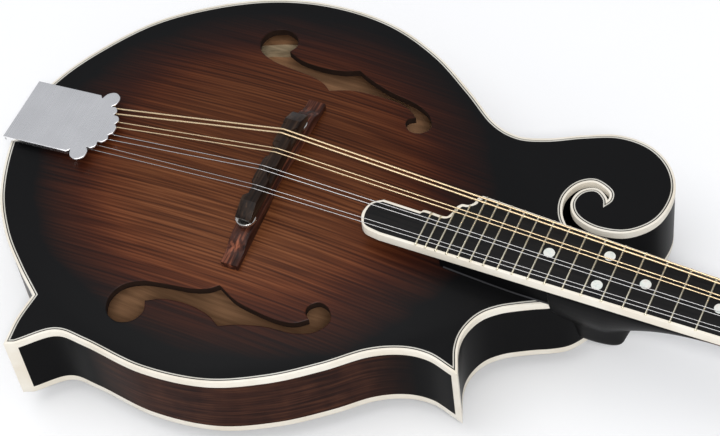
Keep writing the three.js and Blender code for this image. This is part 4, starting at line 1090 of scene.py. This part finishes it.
def engraving(x, y):
    """A shallow fan of rays and two arcs towards the lobed end."""
    radius = np.hypot(x - 34, y)
    angle = np.degrees(np.arctan2(y, x - 34))
    rays = np.exp(-(((angle + 7.5) % 15 - 7.5) / 1.8) ** 2)
    rays *= (radius > 8) * (radius < 17) * (np.abs(angle) < 70)
    arcs = np.exp(-((radius - 7) / 0.35) ** 2) + np.exp(-((radius - 18.5) / 0.35) ** 2)
    return 0.05 * np.clip(rays + arcs * (np.abs(angle) < 78), 0, 1)


def build_tailpiece():
    flat, triangles = region(cover_line(), lines=[ring_offset(cover_line(), -0.3)], spacing=0.75)
    plate = shell(flat, triangles, lambda x, y: -engraving(x, y), lambda x, y: -0.9 + 0 * x, drop=0.14)
    piece("cover_plate", *plate[:2], CHROME, "tailpiece_plate", at=COVER, body="cover",
          node="tailpiece_cover", smooth=30)
    for name, x0, x1, y0, y1 in (("treble", 0.6, 41, -20.3, -19.6), ("bass", 0.6, 41, 19.6, 20.3),
                                 ("rear", 0.4, 1.1, -20.3, 20.3)):
        corners = [(x0, y0), (x1, y0), (x1, y1), (x0, y1)]
        piece(f"cover_skirt_{name}", *slab(corners, -3.2, -0.85, 0.12, 2), CHROME, "tailpiece_plate",
              at=COVER, body="cover")
    refined("tailpiece_base", CHROME, bevel=0.12)
    pin = [(0.01, 0), (3, 0), (3, 12.6), (4.8, 12.8), (5.2, 13.8), (4.4, 14.6), (3.9, 15.3), (3.8, 16.2),
           (4.2, 17.3), (5.2, 18.1), (5.6, 18.7), (5.5, 19.3), (5, 19.9), (3.9, 20.4), (2.6, 20.6),
           (0.01, 20.7)]
    piece("strap_pin", *lathe(pin, 48), GLOSS, "black_plastic", node="end_pin", smooth=40,
          at=shift(-149, 0, -RIM_DEPTH / 2) @ turn(-90, "Y"))


# ---- tuners ----
GEAR_RADIUS = 5.6
WORM_RADIUS = 1.8
PLATE_BACK = HEAD_BACK - GAP - 1.2
GEAR_TOP = PLATE_BACK - GAP
GEAR_THICK = 3.6
GEAR_TEETH = 16
POST = [(0.01, GEAR_TOP), (POST_RADIUS, GEAR_TOP), (POST_RADIUS, 6.2), (2.9, 6.6), (2.2, 7.2), (2.05, 8.6),
        (2.2, 10.4), (2.9, 11.2), (POST_RADIUS, 11.6), (2.9, 13.2), (2.4, 13.8), (1.2, 14), (0.01, 14)]
BUSHING = [(3.25, -0.4), (5.2, -0.4), (5.2, 0.5), (4.6, 1.2), (3.9, 1.5), (3.25, 1.5)]
SHAFT = [(0.01, -8), (1.3, -8), (1.4, -7.8), (1.4, 15.6), (0.01, 15.6)]
BUTTON = [(0.01, 15), (2.6, 15), (3.2, 15.8), (4.4, 17.2), (6.0, 19.2), (6.6, 21.4), (6.7, 23.6),
          (6.0, 25.6), (4.6, 27.1), (2.4, 27.8), (0.01, 28)]


def gear():
    """A toothed wheel: its edge swells and sinks once per tooth."""
    angles = around(GEAR_TEETH * 8)
    edge = GEAR_RADIUS - 0.45 * (1 - np.tanh(3 * np.cos(GEAR_TEETH * angles)))
    bottom = GEAR_TOP - GEAR_THICK
    return closed_tube([circle(r, z, angles)
                        for r, z in ((0.01, bottom), (edge, bottom), (edge, GEAR_TOP), (0.01, GEAR_TOP))])


def worm():
    """The shaft's threaded stretch: a groove that winds along it."""
    pitch, half_depth, angles = 1.7, 0.16, around(24)
    rows = []
    for z in np.linspace(-3.4, 3.4, 48):
        groove = half_depth * (1 + np.cos(angles - 2 * math.pi * z / pitch))
        rows.append(circle(WORM_RADIUS - groove, z, angles))
    return closed_tube(rows)


def build_tuner(side, tag, x):
    post_at = HEAD @ shift(x, side * POST_ROW, 0)
    post_body, button_body = f"post_{tag}", f"button_{tag}"
    piece(f"post_{tag}_turned", *lathe(POST, 36), NICKEL, "tuner_metal", at=post_at, body=post_body,
          node=f"tuner_post_{tag}")
    piece(f"gear_{tag}", *gear(), BRASS, "tuner_metal", at=post_at, body=post_body)
    piece(f"bushing_{tag}", *hollow_lathe(BUSHING, 48), NICKEL, "tuner_metal", at=post_at)
    shaft_at = (post_at @ shift(-GEAR_RADIUS - WORM_RADIUS - GAP, 0, GEAR_TOP - GEAR_THICK / 2)
                @ turn(-side * 90, "X"))
    piece(f"shaft_{tag}", *joined(lathe(SHAFT, 24), worm()), BRASS, "tuner_metal", at=shaft_at,
          body=button_body)
    points, faces = lathe(BUTTON, 48)
    piece(f"button_{tag}_pearl", points * (1, 0.55, 1), faces, PEARL, "pearl_button", at=shaft_at,
          body=button_body, node=f"tuner_button_{tag}", smooth=50)


def build_tuners():
    for side, tag in SIDES:
        refined(f"tuner_plate_{tag}", NICKEL, bevel=0.18)
        for k in range(5):
            x = FIRST_POST + POST_SPACING * (k - 0.5) - (5 if k == 0 else 3.5)
            at = HEAD @ shift(x, side * POST_ROW, PLATE_BACK) @ turn(180, "X")
            screw(f"tuner_screw_{tag}_{k}", at, 1.4)
        for i in range(4):
            build_tuner(side, f"{tag}_{i + 1}", FIRST_POST + POST_SPACING * i)


def dress(node, material):
    """A CAD node that stays as it is, with a finished material."""
    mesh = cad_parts[node].data
    mesh.materials.clear()
    mesh.materials.append(material)


def build_inside():
    for node in ("tail_block", "neck_block", "upper_point_block", "lower_point_block", "top_lining",
                 "back_lining", "tone_bar_bass", "tone_bar_treble"):
        dress(node, PALE)
    dress("truss_rod", STEEL)
    dress("nut", BONE)
    for _, tag in SIDES:
        dress(f"bridge_post_{tag}", NICKEL)


# ---- light and camera ----
def build_studio():
    mesh = bpy.data.meshes.new("floor")
    mesh.from_pydata([(-4, -4, 0), (4, -4, 0), (4, 4, 0), (-4, 4, 0)], [], [(0, 1, 2, 3)])
    mesh.materials.append(pale_floor())
    placed("floor", mesh)

    world = bpy.data.worlds.new("studio")
    world.use_nodes = True
    background = world.node_tree.nodes["Background"]
    background.inputs["Color"].default_value = (0.93, 0.95, 1.0, 1)
    background.inputs["Strength"].default_value = 0.52
    bpy.context.scene.world = world
    softbox("overhead", (-0.2, -0.12, 0.97), 2.2, 2.0, 15)
    softbox("front", (0.35, -0.48, 0.80), 2.6, 0.5, 34)
    bpy.context.scene.view_settings.view_transform = "Standard"


def softbox(name, direction, distance, size, power):
    light = bpy.data.lights.new(name, "AREA")
    light.shape = "DISK"
    light.size = size
    light.energy = power
    lamp = placed(name, light)
    toward = Vector(direction).normalized()
    lamp.location = BRIDGE_FOOT + toward * distance
    lamp.rotation_euler = toward.to_track_quat("Z", "Y").to_euler()


def build_camera():
    """The photo's camera, as fitted to the frets, the outline and the f-holes."""
    right = Vector((0.9086, 0.40738, -0.09213))
    up = Vector((-0.28236, 0.76166, 0.58322))
    place = Vector((398.92, -578.58, 927.22))
    lens = bpy.data.cameras.new("camera")
    lens.lens = 109.2
    lens.sensor_width = 36
    camera = placed("camera", lens)
    turned = Matrix((right, up, right.cross(up))).transposed().to_4x4()
    camera.matrix_world = Matrix.Translation(ROW @ place) @ turned
    bpy.context.scene.camera = camera


build_camera()
build_top()
build_back()
build_bindings()
build_ribs()
build_fingerboard()
build_frets()
build_dots()
build_neck()
build_riser()
build_headstock()
build_bridge()
build_strings()
build_tailpiece()
build_tuners()
build_inside()
build_studio()
